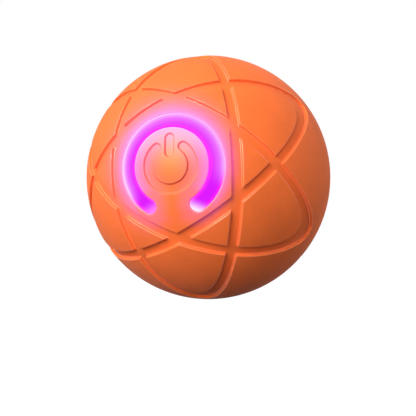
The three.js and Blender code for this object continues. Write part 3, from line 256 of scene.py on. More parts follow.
def on_circle(radius, degrees):
    angle = math.radians(degrees)
    return np.array((radius * math.cos(angle), radius * math.sin(angle)))


def arc(centre, radius, start, end, step):
    count = max(1, round(abs(end - start) / step))
    return [centre + on_circle(radius, a) for a in np.linspace(start, end, count + 1)]


def open_ring(middle, half_width, gap_direction, gap_angle):
    """The outline of a ring with a gap and round ends, anticlockwise."""
    start = gap_direction + gap_angle
    end = gap_direction + 360 - gap_angle
    origin = np.zeros(2)
    return (
        arc(origin, middle + half_width, start, end, ARC_STEP)
        + arc(on_circle(middle, end), half_width, end, end + 180, CAP_STEP)[1:-1]
        + arc(origin, middle - half_width, end, start, ARC_STEP)
        + arc(on_circle(middle, start), half_width, start + 180, start + 360, CAP_STEP)[1:-1]
    )


def open_ring_distance(places, middle, half_width, gap_direction, gap_angle):
    """Distance from an open ring's outline, below zero inside it."""
    reach = np.hypot(places[:, 0], places[:, 1])
    turn = np.degrees(np.arctan2(places[:, 1], places[:, 0])) - gap_direction
    turn = np.abs((turn + 180) % 360 - 180)
    ends = [on_circle(middle, gap_direction + side * gap_angle) for side in (-1, 1)]
    to_end = np.min([np.hypot(*(places - end).T) for end in ends], axis=0)
    return np.where(turn < gap_angle, to_end, np.abs(reach - middle)) - half_width


def tick_outline(grow):
    """The outline of the power mark's upright stroke."""
    half = TICK_HALF_WIDTH + grow
    top = np.array((0.0, TICK_TOP - TICK_HALF_WIDTH))
    bottom = np.array((0.0, TICK_BOTTOM + TICK_HALF_WIDTH))
    return arc(top, half, 0, 180, CAP_STEP) + arc(bottom, half, 180, 360, CAP_STEP)


def tick_distance(places):
    nearest = np.clip(places[:, 1], TICK_BOTTOM + TICK_HALF_WIDTH, TICK_TOP - TICK_HALF_WIDTH)
    return np.hypot(places[:, 0], places[:, 1] - nearest) - TICK_HALF_WIDTH


def rounded_rectangle(width, height, corner, step=CAP_STEP):
    x = width / 2 - corner
    z = height / 2 - corner
    points = []
    for i, (sx, sz) in enumerate(((1, 1), (-1, 1), (-1, -1), (1, -1))):
        points += arc(np.array((sx * x, sz * z)), corner, 90 * i, 90 * (i + 1), step)
    return points


def light_ring_outline(half_width):
    return open_ring(RING_MIDDLE, half_width, RING_GAP_DIRECTION, RING_GAP_ANGLE)


def neck_outline(half_width, side):
    """The edge of the front cover's hole for side 1, and of the button for side -1.

    Both follow the light ring's place, and its middle line across the gap, where the neck joins them.
    """
    start = RING_GAP_DIRECTION + RING_GAP_ANGLE
    end = start + 360 - 2 * RING_GAP_ANGLE
    origin = np.zeros(2)
    neck = math.hypot(RING_MIDDLE, half_width)
    lean = math.degrees(math.atan2(half_width, RING_MIDDLE))
    quarter = 90 * side
    return (
        arc(origin, RING_MIDDLE + side * half_width, start, end, ARC_STEP)
        + arc(on_circle(RING_MIDDLE, end), half_width, end + 90 - quarter, end + 90, CAP_STEP)[1:]
        + arc(origin, neck, end + lean, start + 360 - lean, ARC_STEP)[1:-1]
        + arc(on_circle(RING_MIDDLE, start), half_width, start + 270, start + 270 + quarter, CAP_STEP)[:-1]
    )


# The ball's skin is laid out flat: a point's distance from the map's middle is its angle from the pole


def directions(flat, side):
    angle = np.hypot(flat[:, 0], flat[:, 1])
    ratio = np.sinc(angle / math.pi)
    return np.column_stack((flat[:, 0] * ratio, side * np.cos(angle), flat[:, 1] * ratio))


def flattened(places, side):
    """The map's points for places in space, taken along their directions."""
    d = places / np.linalg.norm(places, axis=1)[:, None]
    angle = np.arccos(np.clip(side * d[:, 1], -1, 1))
    return d[:, (0, 2)] / np.sinc(angle / math.pi)[:, None]


def on_map(outline, side):
    """The map's points for an outline in the button's plane, taken straight to the ball behind it."""
    xz = np.array(outline)
    y = side * np.sqrt(BALL_RADIUS**2 - (xz**2).sum(axis=1))
    return flattened(np.column_stack((xz[:, 0], y, xz[:, 1])), side)


def loop_field(d, turn, across, along):
    """Distance from a loop's edge in millimetres, counted outwards, and the way outwards on the ball."""
    e_across = np.array((math.cos(turn), 0.0, math.sin(turn)))
    e_along = np.array((-math.sin(turn), 0.0, math.cos(turn)))
    u = d @ e_across
    v = d @ e_along
    size = np.sqrt((u / across) ** 2 + (v / along) ** 2) + LEAST_SIZE
    slope = (np.outer(u / across**2, e_across) + np.outer(v / along**2, e_along)) / size[:, None]
    slope -= size[:, None] * d
    steepness = np.maximum(np.linalg.norm(slope, axis=1), LEAST_STEEPNESS)
    return BALL_RADIUS * (size - 1) / steepness, slope / steepness[:, None]


def loop_line(side, turn, across, along, level):
    """A closed line at a distance from a loop's edge."""
    t = np.linspace(0, 2 * math.pi, LOOP_POINTS, endpoint=False)
    u = across * np.cos(t)
    v = along * np.sin(t)
    x = u * math.cos(turn) - v * math.sin(turn)
    z = u * math.sin(turn) + v * math.cos(turn)
    d = np.column_stack((x, side * np.sqrt(1 - u**2 - v**2), z))
    for _ in range(LOOP_FITS):
        distance, outwards = loop_field(d, turn, across, along)
        d += ((level - distance) / BALL_RADIUS)[:, None] * outwards
        d /= np.linalg.norm(d, axis=1)[:, None]
    return d


def rounding(distance, fillet):
    """How far a rounded edge has dropped at a distance from its side."""
    short = np.clip(fillet - distance, 0, fillet)
    return fillet - np.sqrt(np.maximum(fillet**2 - short**2, 0))


def recess(distance, depth, fillet, lean=WALL_LEAN):
    """Height at a distance from a recess's wall, which leans a little and is rounded top and bottom."""
    half = lean / 2
    bend = rounding(np.abs(distance) - half, fillet)
    wall = -depth / 2 + distance / half * (depth / 2 - fillet)
    height = np.where(distance > 0, -bend, bend - depth)
    return np.where(np.abs(distance) < half, wall, height)


def edge_levels(fillet, lean=WALL_LEAN):
    """Distances from a wall at which a line of vertices follows its rounded edge."""
    steps = [1 - math.sin(math.radians(step)) for step in FILLET_STEPS]
    return [lean / 2 + fillet * share for share in (BESIDE_FILLET, *steps)]


def wall_levels(fillet, lean=WALL_LEAN):
    """The same for a wall that is rounded top and bottom."""
    levels = edge_levels(fillet, lean)
    return levels + [-level for level in levels]


def inside(points, outline):
    """Which points lie in a closed outline."""
    result = np.zeros(len(points), bool)
    x, y = points[:, 0], points[:, 1]
    for (x1, y1), (x2, y2) in zip(outline, np.roll(outline, -1, axis=0)):
        if y1 != y2:
            crosses = (y1 > y) != (y2 > y)
            result ^= crosses & (x < (x2 - x1) * (y - y1) / (y2 - y1) + x1)
    return result


def within(points, border, holes):
    """Which points lie in the border and outside the holes."""
    result = inside(points, border)
    for hole in holes:
        result &= ~inside(points, hole)
    return result


def hexagonal_grid(limit, spacing):
    rows = int(limit / (spacing * math.sqrt(3) / 2)) + 1
    columns = int(limit / spacing) + 2
    i, j = np.meshgrid(np.arange(-columns, columns + 1), np.arange(-rows, rows + 1))
    places = ((i + (j % 2) / 2) * spacing, j * spacing * math.sqrt(3) / 2)
    grid = np.column_stack([place.ravel() for place in places])
    return grid[np.hypot(*grid.T) < limit]


def triangulated(closed_lines, fill, holes):
    """Triangles of the flat map that follow all the lines, within the first line and outside the holes."""
    points = []
    edges = []
    for line in closed_lines:
        first = len(points)
        points += [Vector(p) for p in line]
        count = len(line)
        edges += [(first + i, first + (i + 1) % count) for i in range(count)]
    points += [Vector(p) for p in fill]
    made, _, faces, _, _, _ = geometry.delaunay_2d_cdt(points, edges, [], 0, SAME_PLACE)
    flat = np.array([tuple(p) for p in made])
    faces = np.array(faces)
    faces = faces[within(flat[faces].mean(axis=1), closed_lines[0], holes)]
    used = np.unique(faces)
    renumber = np.full(len(flat), -1)
    renumber[used] = np.arange(len(used))
    return flat[used], renumber[faces]


def border_loops(faces):
    """The open edges of a set of triangles, chained into loops of vertices in the triangles' direction."""
    directed = np.concatenate((faces[:, (0, 1)], faces[:, (1, 2)], faces[:, (2, 0)]))
    present = {(a, b) for a, b in directed.tolist()}
    following = {a: b for a, b in present if (b, a) not in present}
    loops = []
    while following:
        start, here = following.popitem()
        loop = [start]
        while here != start:
            loop.append(here)
            here = following.pop(here)
        loops.append(loop)
    return loops


def skin_mesh(name, side, lines, holes, height, clear_of, spacing=SKIN_SPACING):
    """A closed piece of the ball's skin within the first line. Its inside is plain.

    height gives millimetres above the ball for directions, and clear_of their distance from the nearest line.
    """
    limit = np.hypot(*lines[0].T).max()
    fill = hexagonal_grid(limit, spacing / BALL_RADIUS)
    fill = fill[within(fill, lines[0], holes)]
    fill = fill[clear_of(directions(fill, side)) > spacing * CLEAR_SHARE]
    flat, faces = triangulated(lines, fill, holes)
    d = directions(flat, side)
    outer = d * (BALL_RADIUS + height(d))[:, None]
    loops = sorted(border_loops(faces), key=lambda loop: -np.hypot(*flat[loop].T).max())
    rims = [flattened(inside_rim(outer[loop]), side) for loop in loops]
    sparse = hexagonal_grid(limit, INNER_SPACING / BALL_RADIUS)
    sparse = sparse[within(sparse, rims[0], rims[1:])]
    for rim in rims:
        gaps = np.hypot(*(sparse[:, None] - rim[None]).transpose(2, 0, 1)).min(axis=1)
        sparse = sparse[gaps > INNER_SPACING * INNER_CLEAR_SHARE / BALL_RADIUS]
    inner_flat, inner_faces = triangulated(rims, sparse, rims[1:])
    inner = directions(inner_flat, side) * INNER_RADIUS
    count = len(outer)
    polygons = faces.tolist() + (inner_faces[:, ::-1] + count).tolist()
    for loop, rim in zip(loops, rims):
        nearest = [int(((inner_flat - p) ** 2).sum(axis=1).argmin()) + count for p in rim]
        polygons += [(loop[i], loop[i - 1], nearest[i - 1], nearest[i]) for i in range(len(loop))]
    return new_mesh(name, np.concatenate((outer, inner)), polygons)


def new_mesh(name, places, faces, corner_angle=CORNER_ANGLE):
    """A mesh object from places in millimetres, with its faces turned outwards and only its corners sharp."""
    mesh = bpy.data.meshes.new(name)
    mesh.from_pydata((places * MM).tolist(), [], [tuple(int(i) for i in face) for face in faces])
    mesh.validate()
    turned = bmesh.new()
    turned.from_mesh(mesh)
    bmesh.ops.recalc_face_normals(turned, faces=turned.faces)
    turned.to_mesh(mesh)
    turned.free()
    mesh.shade_smooth()
    mesh.set_sharp_from_angle(angle=math.radians(corner_angle))
    piece = bpy.data.objects.new(name, mesh)
    bpy.context.scene.collection.objects.link(piece)
    return piece


# The covers, the button and the ring


def box_in_mm(node):
    """The lower and the upper corner of a CAD node's box."""
    return (np.array(corner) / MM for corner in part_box(node))


def ring_distance(d, half_width=HOLE_HALF_WIDTH):
    """Distance from the light ring's outline for directions, below zero inside it."""
    places = d[:, (0, 2)] * BALL_RADIUS
    return open_ring_distance(places, RING_MIDDLE, half_width, RING_GAP_DIRECTION, RING_GAP_ANGLE)


def ring_edge_lines():
    """Lines that follow the skin's rounded edge beside the light ring."""
    halves = [HOLE_HALF_WIDTH + level for level in edge_levels(RING_EDGE)]
    return [on_map(light_ring_outline(half), FRONT) for half in halves]


class Grooves:
    """The looped grooves on one side of the ball."""

    def __init__(self, side, depth, fillet):
        self.side = side
        self.depth = depth
        self.fillet = fillet
        self.turns = [math.pi * i / LOOP_COUNT for i in range(LOOP_COUNT)]

    def edges(self, d):
        """How far directions lie out of each loop's groove, past its inner and past its outer edge."""
        pairs = [[loop_field(d, turn, *shares)[0] for shares in LOOP_EDGE_SHARES] for turn in self.turns]
        return np.array(pairs) * np.array((-1, 1))[:, None]

    def height(self, d):
        sides = recess(self.edges(d), self.depth, self.fillet)
        return np.where(d[:, 1] * self.side > 0, sides.max(axis=1).min(axis=0), 0)

    def clearance(self, d):
        nearest = np.abs(self.edges(d)).min(axis=(0, 1))
        return np.where(d[:, 1] * self.side > -PAST_MIDDLE, nearest, np.inf)

    def lines(self):
        return [
            flattened(loop_line(self.side, turn, across, along, level), self.side)
            for turn in self.turns
            for across, along in LOOP_EDGE_SHARES
            for level in wall_levels(self.fillet)
        ]


def seam_lines(side, edge):
    """The seam's edge and the lines of its rounding, as circles on the flat map."""
    last = math.acos(side * edge / BALL_RADIUS)
    around = np.linspace(0, 2 * math.pi, SEAM_POINTS, endpoint=False)
    circle = np.column_stack((np.cos(around), np.sin(around)))
    return [circle * (last - level / BALL_RADIUS) for level in (0.0, *edge_levels(SEAM_EDGE))]


def seam_distance(d, side, edge):
    angle = np.arccos(np.clip(side * d[:, 1], -1, 1))
    return BALL_RADIUS * (math.acos(side * edge / BALL_RADIUS) - angle)


def inside_rim(places):
    """A rim's places on the skin's inside: a seam stays level, and a hole goes straight in."""
    inner = places.copy()
    if np.ptp(places[:, 1]) < SEAM_EDGE:
        reach = np.hypot(places[:, 0], places[:, 2])
        inner[:, (0, 2)] *= (math.sqrt(INNER_RADIUS**2 - places[0, 1] ** 2) / reach)[:, None]
    else:
        depth = np.sqrt(INNER_RADIUS**2 - places[:, 0] ** 2 - places[:, 2] ** 2)
        inner[:, 1] = np.sign(places[:, 1]) * depth
    return inner


def cover_piece(name, side, sizes, hole, hole_lines, hole_distance, hole_edge):
    """One soft half of the ball, with its grooves, its seam and a hole with a rounded edge."""
    grooves = Grooves(side, sizes.groove_depth / MM, sizes.groove_fillet / MM)
    edge = SEAM_PLACE + side * sizes.seam_gap / MM / 2

    def height(d):
        drop = rounding(hole_distance(d), hole_edge) + rounding(seam_distance(d, side, edge), SEAM_EDGE)
        return grooves.height(d) - drop

    def clearance(d):
        distances = (grooves.clearance(d), np.abs(hole_distance(d)), seam_distance(d, side, edge))
        return np.minimum.reduce(distances)

    lines = seam_lines(side, edge) + [hole] + hole_lines + grooves.lines()
    return skin_mesh(name, side, lines, [hole], height, clearance)


def front_cover_piece(sizes):
    hole = on_map(neck_outline(HOLE_HALF_WIDTH, 1), FRONT)
    return cover_piece("soft_front_cover", FRONT, sizes, hole, ring_edge_lines(), ring_distance, RING_EDGE)


def port_distance(d):
    """Distance from the charging port's outline for directions."""
    corner = np.array((PORT_WIDTH, PORT_HEIGHT)) / 2 - PORT_CORNER
    beyond = np.abs(d[:, (0, 2)] * BALL_RADIUS) - corner
    return np.hypot(*np.maximum(beyond, 0).T) + np.minimum(beyond.max(axis=1), 0) - PORT_CORNER


def rear_cover_piece(sizes):
    lines = []
    for level in (0.0, *edge_levels(PORT_EDGE)):
        outline = rounded_rectangle(PORT_WIDTH + 2 * level, PORT_HEIGHT + 2 * level, PORT_CORNER + level)
        lines.append(on_map(outline, REAR))
    return cover_piece("soft_rear_cover", REAR, sizes, lines[0], lines[1:], port_distance, PORT_EDGE)


def mark_distance(d):
    """Distance from the power mark's outline for directions, below zero inside it."""
    places = d[:, (0, 2)] * BALL_RADIUS
    ring = open_ring_distance(places, MARK_MIDDLE, MARK_HALF_WIDTH, MARK_GAP_DIRECTION, MARK_GAP_ANGLE)
    return np.minimum(ring, tick_distance(places))


def power_button_piece():
    rim = on_map(neck_outline(HOLE_HALF_WIDTH, -1), FRONT)
    mark_lines = []
    for level in wall_levels(MARK_EDGE, MARK_LEAN):
        ring = open_ring(MARK_MIDDLE, MARK_HALF_WIDTH + level, MARK_GAP_DIRECTION, MARK_GAP_ANGLE)
        mark_lines += [on_map(outline, FRONT) for outline in (ring, tick_outline(level))]

    def height(d):
        mark = recess(mark_distance(d), MARK_DEPTH, MARK_EDGE, MARK_LEAN)
        return mark - rounding(ring_distance(d), RING_EDGE)

    def clearance(d):
        return np.minimum(np.abs(mark_distance(d)), np.abs(ring_distance(d)))

    lines = [rim] + ring_edge_lines() + mark_lines
    return skin_mesh("soft_power_button", FRONT, lines, [], height, clearance, BUTTON_SPACING)


def light_ring_piece():
    """The ring's rounded face, its wall and the round flange behind the rigid shell."""
    _, (outer, rear, _) = box_in_mm("light_ring")
    halves = [RING_HALF_WIDTH - level for level in (0.0, *edge_levels(RING_EDGE))]
    lines = [on_map(light_ring_outline(half), FRONT) for half in halves]
    flat, faces = triangulated(lines, [], [])
    d = directions(flat, FRONT)
    face = d * (BALL_RADIUS - rounding(-ring_distance(d, RING_HALF_WIDTH), RING_EDGE))[:, None]
    back = face.copy()
    back[:, 1] = rear - FLANGE_THICKNESS / 2
    count = len(flat)
    polygons = faces.tolist() + (faces[:, ::-1] + count).tolist()
    for loop in border_loops(faces):
        polygons += [(b, a, a + count, b + count) for a, b in zip(loop, loop[1:] + loop[:1])]
    places, rings = washer(RING_MIDDLE - RING_HALF_WIDTH, outer, rear - FLANGE_THICKNESS, rear)
    polygons += [tuple(i + 2 * count for i in ring) for ring in rings]
    return new_mesh("lit_ring", np.concatenate((face, back, places)), polygons)


def washer(inner, outer, front, rear):
    """Places and faces of a flat ring about the button's axis, with small bevels."""
    bevel = WASHER_BEVEL
    profile = [(inner, front + bevel), (inner + bevel, front), (outer - bevel, front), (outer, front + bevel)]
    profile += [(outer, rear - bevel), (outer - bevel, rear), (inner + bevel, rear), (inner, rear - bevel)]
    places = []
    for i in range(WASHER_POINTS):
        angle = 2 * math.pi * i / WASHER_POINTS
        places += [(r * math.cos(angle), y, r * math.sin(angle)) for r, y in profile]
    return np.array(places), lofted(len(profile), WASHER_POINTS, closed=True)


def lofted(corners, sections, closed=False):
    """Faces between sections that have the same number of corners."""
    faces = []
    for s in range(sections if closed else sections - 1):
        t = (s + 1) % sections
        for i in range(corners):
            j = (i + 1) % corners
            faces.append((s * corners + i, s * corners + j, t * corners + j, t * corners + i))
    return faces


# The charging socket


def section(outline, y, middle=(0.0, 0.0)):
    """An outline's places at a depth in the ball."""
    xz = np.array(outline) + middle
    return np.column_stack((xz[:, 0], np.full(len(xz), y), xz[:, 1]))


def socket_section(inset, y):
    height = SOCKET_HEIGHT - 2 * inset
    return section(rounded_rectangle(SOCKET_WIDTH - 2 * inset, height, (height - SOCKET_FLAT) / 2), y)


def socket_shell_piece():
    """A drawn metal tube with a rolled mouth."""
    (_, deep, _), (_, mouth, _) = box_in_mm("charge_socket")
    profile = [(0.0, deep), (0.0, mouth - SOCKET_ROLL)]
    profile += [(SOCKET_ROLL_BULGE, mouth - SOCKET_ROLL_BULGE), (SOCKET_ROLL, mouth)]
    profile += [(SOCKET_WALL - inset, y) for inset, y in reversed(profile)]
    sections = [socket_section(inset, y) for inset, y in profile]
    faces = lofted(len(sections[0]), len(sections), closed=True)
    return new_mesh("drawn_socket", np.concatenate(sections), faces)


def socket_insert_pieces():
    """The socket's moulded tongue and its rows of contacts."""
    (_, deep, _), (_, tip, _) = box_in_mm("socket_tongue")
    base_end = deep + TONGUE_BASE_LENGTH
    inset = SOCKET_WALL + TONGUE_BASE_GAP
    base = [socket_section(inset, deep), socket_section(inset, base_end - TONGUE_BASE_BEVEL)]
    base.append(socket_section(inset + TONGUE_BASE_BEVEL, base_end))
    tongue = []
    course = [(base_end - TONGUE_ROOT, 0.0, 0.0)] + [(tip - back, *less) for back, *less in TONGUE_TIP]
    for y, narrower, thinner in course:
        half = TONGUE_HALF_THICKNESS - thinner
        outline = rounded_rectangle(TONGUE_WIDTH - 2 * narrower, 2 * half, half * TONGUE_ROUNDING)
        tongue.append(section(outline, y))
    outline = rounded_rectangle(CONTACT_WIDTH, CONTACT_WIDTH / 2, CONTACT_WIDTH / 8, step=45)
    level = TONGUE_HALF_THICKNESS - CONTACT_WIDTH / 4
    course = [(base_end - CONTACT_ROOT, CONTACT_LIFT)] + [(tip - back, lift) for back, lift in CONTACT_TIP]
    contacts = []
    for side in (-1, 1):
        for i in range(CONTACT_COUNT):
            x = (i - (CONTACT_COUNT - 1) / 2) * CONTACT_PITCH
            contacts.append([section(outline, y, (x, side * (level + lift))) for y, lift in course])
    return blocks_mesh("moulded_tongue", [base, tongue]), blocks_mesh("socket_contacts", contacts)


def blocks_mesh(name, blocks):
    """One piece of closed bodies, each given by its sections."""
    places = []
    faces = []
    for sections in blocks:
        start = sum(len(p) for p in places)
        corners = len(sections[0])
        last = start + (len(sections) - 1) * corners
        places += sections
        faces += [tuple(start + i for i in face) for face in lofted(corners, len(sections))]
        faces += [tuple(reversed(range(start, start + corners))), tuple(range(last, last + corners))]
    return new_mesh(name, np.concatenate(places), faces, INSERT_CORNER_ANGLE)


# Finishes


class Level:
    """A level in a material's nodes, for sums. above and below give one where they hold, or else zero."""

    def __init__(self, material, socket):
        self.material = material
        self.socket = socket

    def then(self, operation, *others, clamp=False):
        """The level that a sum gives with this level first."""
        inputs = dict(enumerate((self, *others)))
        node = add(self.material, "ShaderNodeMath", inputs, operation=operation, use_clamp=clamp)
        return Level(self.material, node.outputs[0])

    __add__ = partialmethod(then, "ADD")
    __sub__ = partialmethod(then, "SUBTRACT")
    __mul__ = partialmethod(then, "MULTIPLY")
    __truediv__ = partialmethod(then, "DIVIDE")
    __pow__ = partialmethod(then, "POWER")
    __abs__ = partialmethod(then, "ABSOLUTE")
    at_least = partialmethod(then, "MAXIMUM")
    above = partialmethod(then, "GREATER_THAN")
    below = partialmethod(then, "LESS_THAN")

    def ranged(self, low, high):
        """Zero to one as the level goes from low to high, with a smooth start and end."""
        inputs = {"Value": self, "From Min": low, "From Max": high}
        node = add(self.material, "ShaderNodeMapRange", inputs, interpolation_type="SMOOTHSTEP")
        return Level(self.material, node.outputs[0])


def add(material, kind, inputs=None, **settings):
    """A new node, with its settings and inputs."""
    node = material.node_tree.nodes.new(kind)
    for key, value in settings.items():
        setattr(node, key, value)
    connect(material, node, inputs or {})
    return node


def connect(material, node, inputs):
    """Links a node's inputs to levels and to other nodes' outputs, or sets them. Colours are opaque."""
    for key, value in inputs.items():
        socket = node.inputs[key]
        if isinstance(value, Level):
            value = value.socket
        if isinstance(value, bpy.types.NodeSocket):
            material.node_tree.links.new(value, socket)
        elif socket.type == "RGBA":
            socket.default_value = (*value, 1.0)
        else:
            socket.default_value = value


def ramp(material, factor, stops):
    """A colour or a level for a factor, from (place, colour) stops."""
    node = add(material, "ShaderNodeValToRGB", {"Fac": factor})
    elements = node.color_ramp.elements
    for element, (place, colour) in zip(elements, (stops[0], stops[-1])):
        element.position = place
        element.color = (*colour, 1.0)
    for place, colour in stops[1:-1]:
        elements.new(place).color = (*colour, 1.0)
    return node.outputs["Color"]


def grey(level):
    return (level, level, level)


def blended(material, factor, a, b):
    """A colour between two, the first where the factor is zero."""
    return add(material, "ShaderNodeMix", {"Factor": factor, 6: a, 7: b}, data_type="RGBA").outputs[2]


def place_in_ball(material):
    """The place in the ball's own frame, in metres."""
    return add(material, "ShaderNodeTexCoord").outputs["Object"]


def noise(material, scale, stretch=None, detail=3.0, roughness=0.6):
    vector = place_in_ball(material)
    if stretch:
        vector = add(material, "ShaderNodeMapping", {"Vector": vector, "Scale": stretch}).outputs[0]
    inputs = {"Vector": vector, "Scale": scale, "Detail": detail, "Roughness": roughness}
    return add(material, "ShaderNodeTexNoise", inputs).outputs["Fac"]


def new_finish(name, colour, roughness, metallic=0.0):
    material = bpy.data.materials.new(name)
    material.use_nodes = True
    shader = material.node_tree.nodes["Principled BSDF"]
    connect(material, shader, {"Base Color": colour, "Roughness": roughness, "Metallic": metallic})
    return material, shader


def mottled(material, shader, colour, amount, scale, stretch=None):
    """Gives the colour a slight unevenness."""
    dark = [c * (1 - amount) for c in colour]
    light = [min(1.0, c * (1 + amount)) for c in colour]
    tone = ramp(material, noise(material, scale, stretch), [(0.3, dark), (0.7, light)])
    connect(material, shader, {"Base Color": tone})
    return tone


def uneven_gloss(material, shader, low, high, scale, stretch=None):
    level = ramp(material, noise(material, scale, stretch), [(0.25, grey(low)), (0.75, grey(high))])
    connect(material, shader, {"Roughness": level})


def relief(material, shader, height, strength, depth):
    """Gives the surface a relief of that depth in millimetres."""
    bump = add(material, "ShaderNodeBump", {"Strength": strength, "Distance": depth * MM, "Height": height})
    connect(material, shader, {"Normal": bump.outputs[0]})


def grained(material, shader, scale, strength, depth, stretch=None):
    relief(material, shader, noise(material, scale, stretch), strength, depth)


def in_ball(material):
    """The place in the ball as levels: across, back, up and out from the button's axis."""
    place = add(material, "ShaderNodeSeparateXYZ", {"Vector": place_in_ball(material)})
    x, y, z = (Level(material, output) for output in place.outputs)
    return x, y, z, (x * x + z * z) ** 0.5


def from_ring_end(x, z):
    """How far a place lies outwards from the nearer of the ring's ends, and above it."""
    end = on_circle(RING_MIDDLE * MM, RING_GAP_DIRECTION + RING_GAP_ANGLE)
    return abs(x) - end[0], z - end[1]


def from_ring(x, z, reach):
    """The distances from the light ring's body and from the nearer of its ends."""
    outwards, above = from_ring_end(x, z)
    to_end = (outwards * outwards + above * above) ** 0.5
    to_middle = abs(reach - RING_MIDDLE * MM)
    downwards = z * -1.0 / reach.at_least(LEAST_REACH * MM)
    in_gap = downwards.above(math.cos(math.radians(RING_GAP_ANGLE)))
    return to_middle + (to_end - to_middle) * in_gap - RING_HALF_WIDTH * MM, to_end


def facing_out(material):
    """One where the surface faces straight out of the ball, and zero on a groove's wall."""
    coordinates = add(material, "ShaderNodeTexCoord").outputs
    outwards = add(material, "ShaderNodeVectorMath", {0: coordinates["Object"]}, operation="NORMALIZE")
    both = {0: outwards.outputs[0], 1: coordinates["Normal"]}
    cosine = add(material, "ShaderNodeVectorMath", both, operation="DOT_PRODUCT").outputs["Value"]
    return Level(material, cosine).at_least(0.0) ** 2.0


def ring_glow(material, sizes, facing):
    """How much of the ring's light comes through the skin, where the button is, and where it is palest, which
    also paints the lamps' highlight on the button's top.
    """
    x, y, z, reach = in_ball(material)
    distance, to_end = from_ring(x, z, reach)
    in_front = y.below(0.0)
    in_button = reach.ranged((RING_MIDDLE + RING_HALF_WIDTH) * MM, (RING_MIDDLE - RING_HALF_WIDTH) * MM)
    soak = in_button * (sizes.button_glow_reach - sizes.glow_reach) + sizes.glow_reach
    soak = soak + z * (in_button * GLOW_RISE_IN_BUTTON + GLOW_RISE) + x * GLOW_LEAN
    near = distance.at_least(0.0) / soak.at_least(LEAST_GLOW_REACH * MM)
    fade = (near**GLOW_FALL * -1.0).then("EXPONENT")
    power = z * (GLOW_POWER_RISE / MM) + GLOW_POWER + in_button * GLOW_POWER_IN_BUTTON
    dimmer = to_end.ranged(*(place * MM for place in END_DIMS)) * -END_DIMMING + 1.0
    open_skin = facing.at_least(GLOW_IN_GROOVE).at_least(distance.below(2 * RING_EDGE * MM))
    in_button = in_button * in_front
    # Paler towards the button's top: the ring's light and a painted highlight
    palest_glow_and_highlight = in_button * z.ranged(*(place * MM for place in GLOW_AND_HIGHLIGHT_PALES))
    return fade * power * dimmer * in_front * open_skin, in_button, palest_glow_and_highlight


def silicone(sizes, colours):
    """Matt orange silicone, glossier on the grooves' rounded edges, with the ring's light soaking into it, a
    highlight painted on the button's top and painted shade on the power mark's walls.
    """
    base = np.array(colours.skin)
    material, shader = new_finish("orange silicone", base, FLAT_GLOSS[0])
    tone = mottled(material, shader, base, amount=0.05, scale=140.0)
    facing = facing_out(material)
    edge = facing.ranged(*EDGE_BEGINS) * facing.ranged(*EDGE_ENDS)
    gloss, shine = (edge * (there - flat) + flat for flat, there in zip(FLAT_GLOSS, EDGE_GLOSS))
    fade, in_button, palest_glow_and_highlight = ring_glow(material, sizes, facing)
    # A painted highlight: the button's colour turns paler around one place on its top
    spot = {0: place_in_ball(material), 1: [c * MM for c in PAINTED_HIGHLIGHT_SPOT]}
    from_spot = add(material, "ShaderNodeVectorMath", spot, operation="DISTANCE").outputs["Value"]
    bright = Level(material, from_spot).ranged(PAINTED_HIGHLIGHT_SPOT_REACH * MM, 0.0)
    face = blended(material, bright, tone, colours.painted_highlight_skin)
    # Painted shade: the button's walls, chiefly the power mark's, are darkened where they turn from facing
    # out
    button = blended(material, facing.ranged(*WALL_FACES), base * MARK_PAINTED_SHADE, face)
    looks = {
        "Base Color": blended(material, in_button, tone, button),
        "Roughness": gloss,
        "Specular IOR Level": shine,
        "Emission Color": blended(material, palest_glow_and_highlight, colours.glow, colours.pale_glow_and_highlight),
        "Emission Strength": fade,
        "Sheen Weight": SHEEN[0],
        "Sheen Roughness": SHEEN[1],
    }
    connect(material, shader, looks)
    grained(material, shader, scale=5200.0, strength=0.12, depth=0.03)
    return material


def lit_lens(colours):
    """Frosted clear plastic, lit from behind. Over its own glow, a painted highlight runs along its outer
    edge and painted shade towards the magenta inner edge, the shading of a rounded channel; it is deeper in
    its lower arms and has a painted highlight at its ends.
    """
    inner = np.array(colours.ring_inner)
    core = np.array(colours.ring_core)
    edge = np.array(colours.ring_edge)
    depth = np.array(colours.ring_deep)
    material, shader = new_finish("lit ring", core * 0.1, 0.35)
    x, _, z, reach = in_ball(material)
    across = reach - (RING_MIDDLE - RING_HALF_WIDTH) * MM
    across = across.then("DIVIDE", 2 * RING_HALF_WIDTH * MM, clamp=True)
    across = across - x / reach * LENS_SIDE_SHIFT
    # Painted shading of a rounded channel over the ring's glow: a highlight along the outer edge, shade at
    # the inner
    edge_highlight_stops = [(place, core + (edge - core) * share) for place, share in LENS_EDGE_HIGHLIGHT_SHARES]
    pale = ramp(material, across, [(0.0, inner), *edge_highlight_stops])
    rim = core * 0.8 + edge * 0.2
    deep = ramp(material, across, [(0.0, inner), (0.2, depth), (0.72, depth), (0.92, inner), (1.0, rim)])
    right, up = on_circle(1.0, LENS_DEEP_DIRECTION)
    lower = (x * right + z * up) / reach
    light = blended(material, lower.ranged(*LENS_DEEPENS), pale, deep)
    # A highlight painted at the ring's ends, whitest at the right-hand end
    outwards, above = from_ring_end(x, z)
    past_end = outwards * LENS_END_WAY[0] + above * LENS_END_WAY[1]
    paler = past_end.ranged(-LENS_END_REACH * MM, RING_HALF_WIDTH * MM) ** LENS_END_RISE
    painted_end_highlight = blended(material, x.above(0.0), inner * 0.75 + edge * 0.25, edge)
    looks = {
        "Emission Color": blended(material, paler, light, painted_end_highlight),
        "Emission Strength": 1.0,
        "Specular IOR Level": 0.1,
    }
    connect(material, shader, looks)
    grained(material, shader, scale=3000.0, strength=0.1, depth=0.02)
    return material


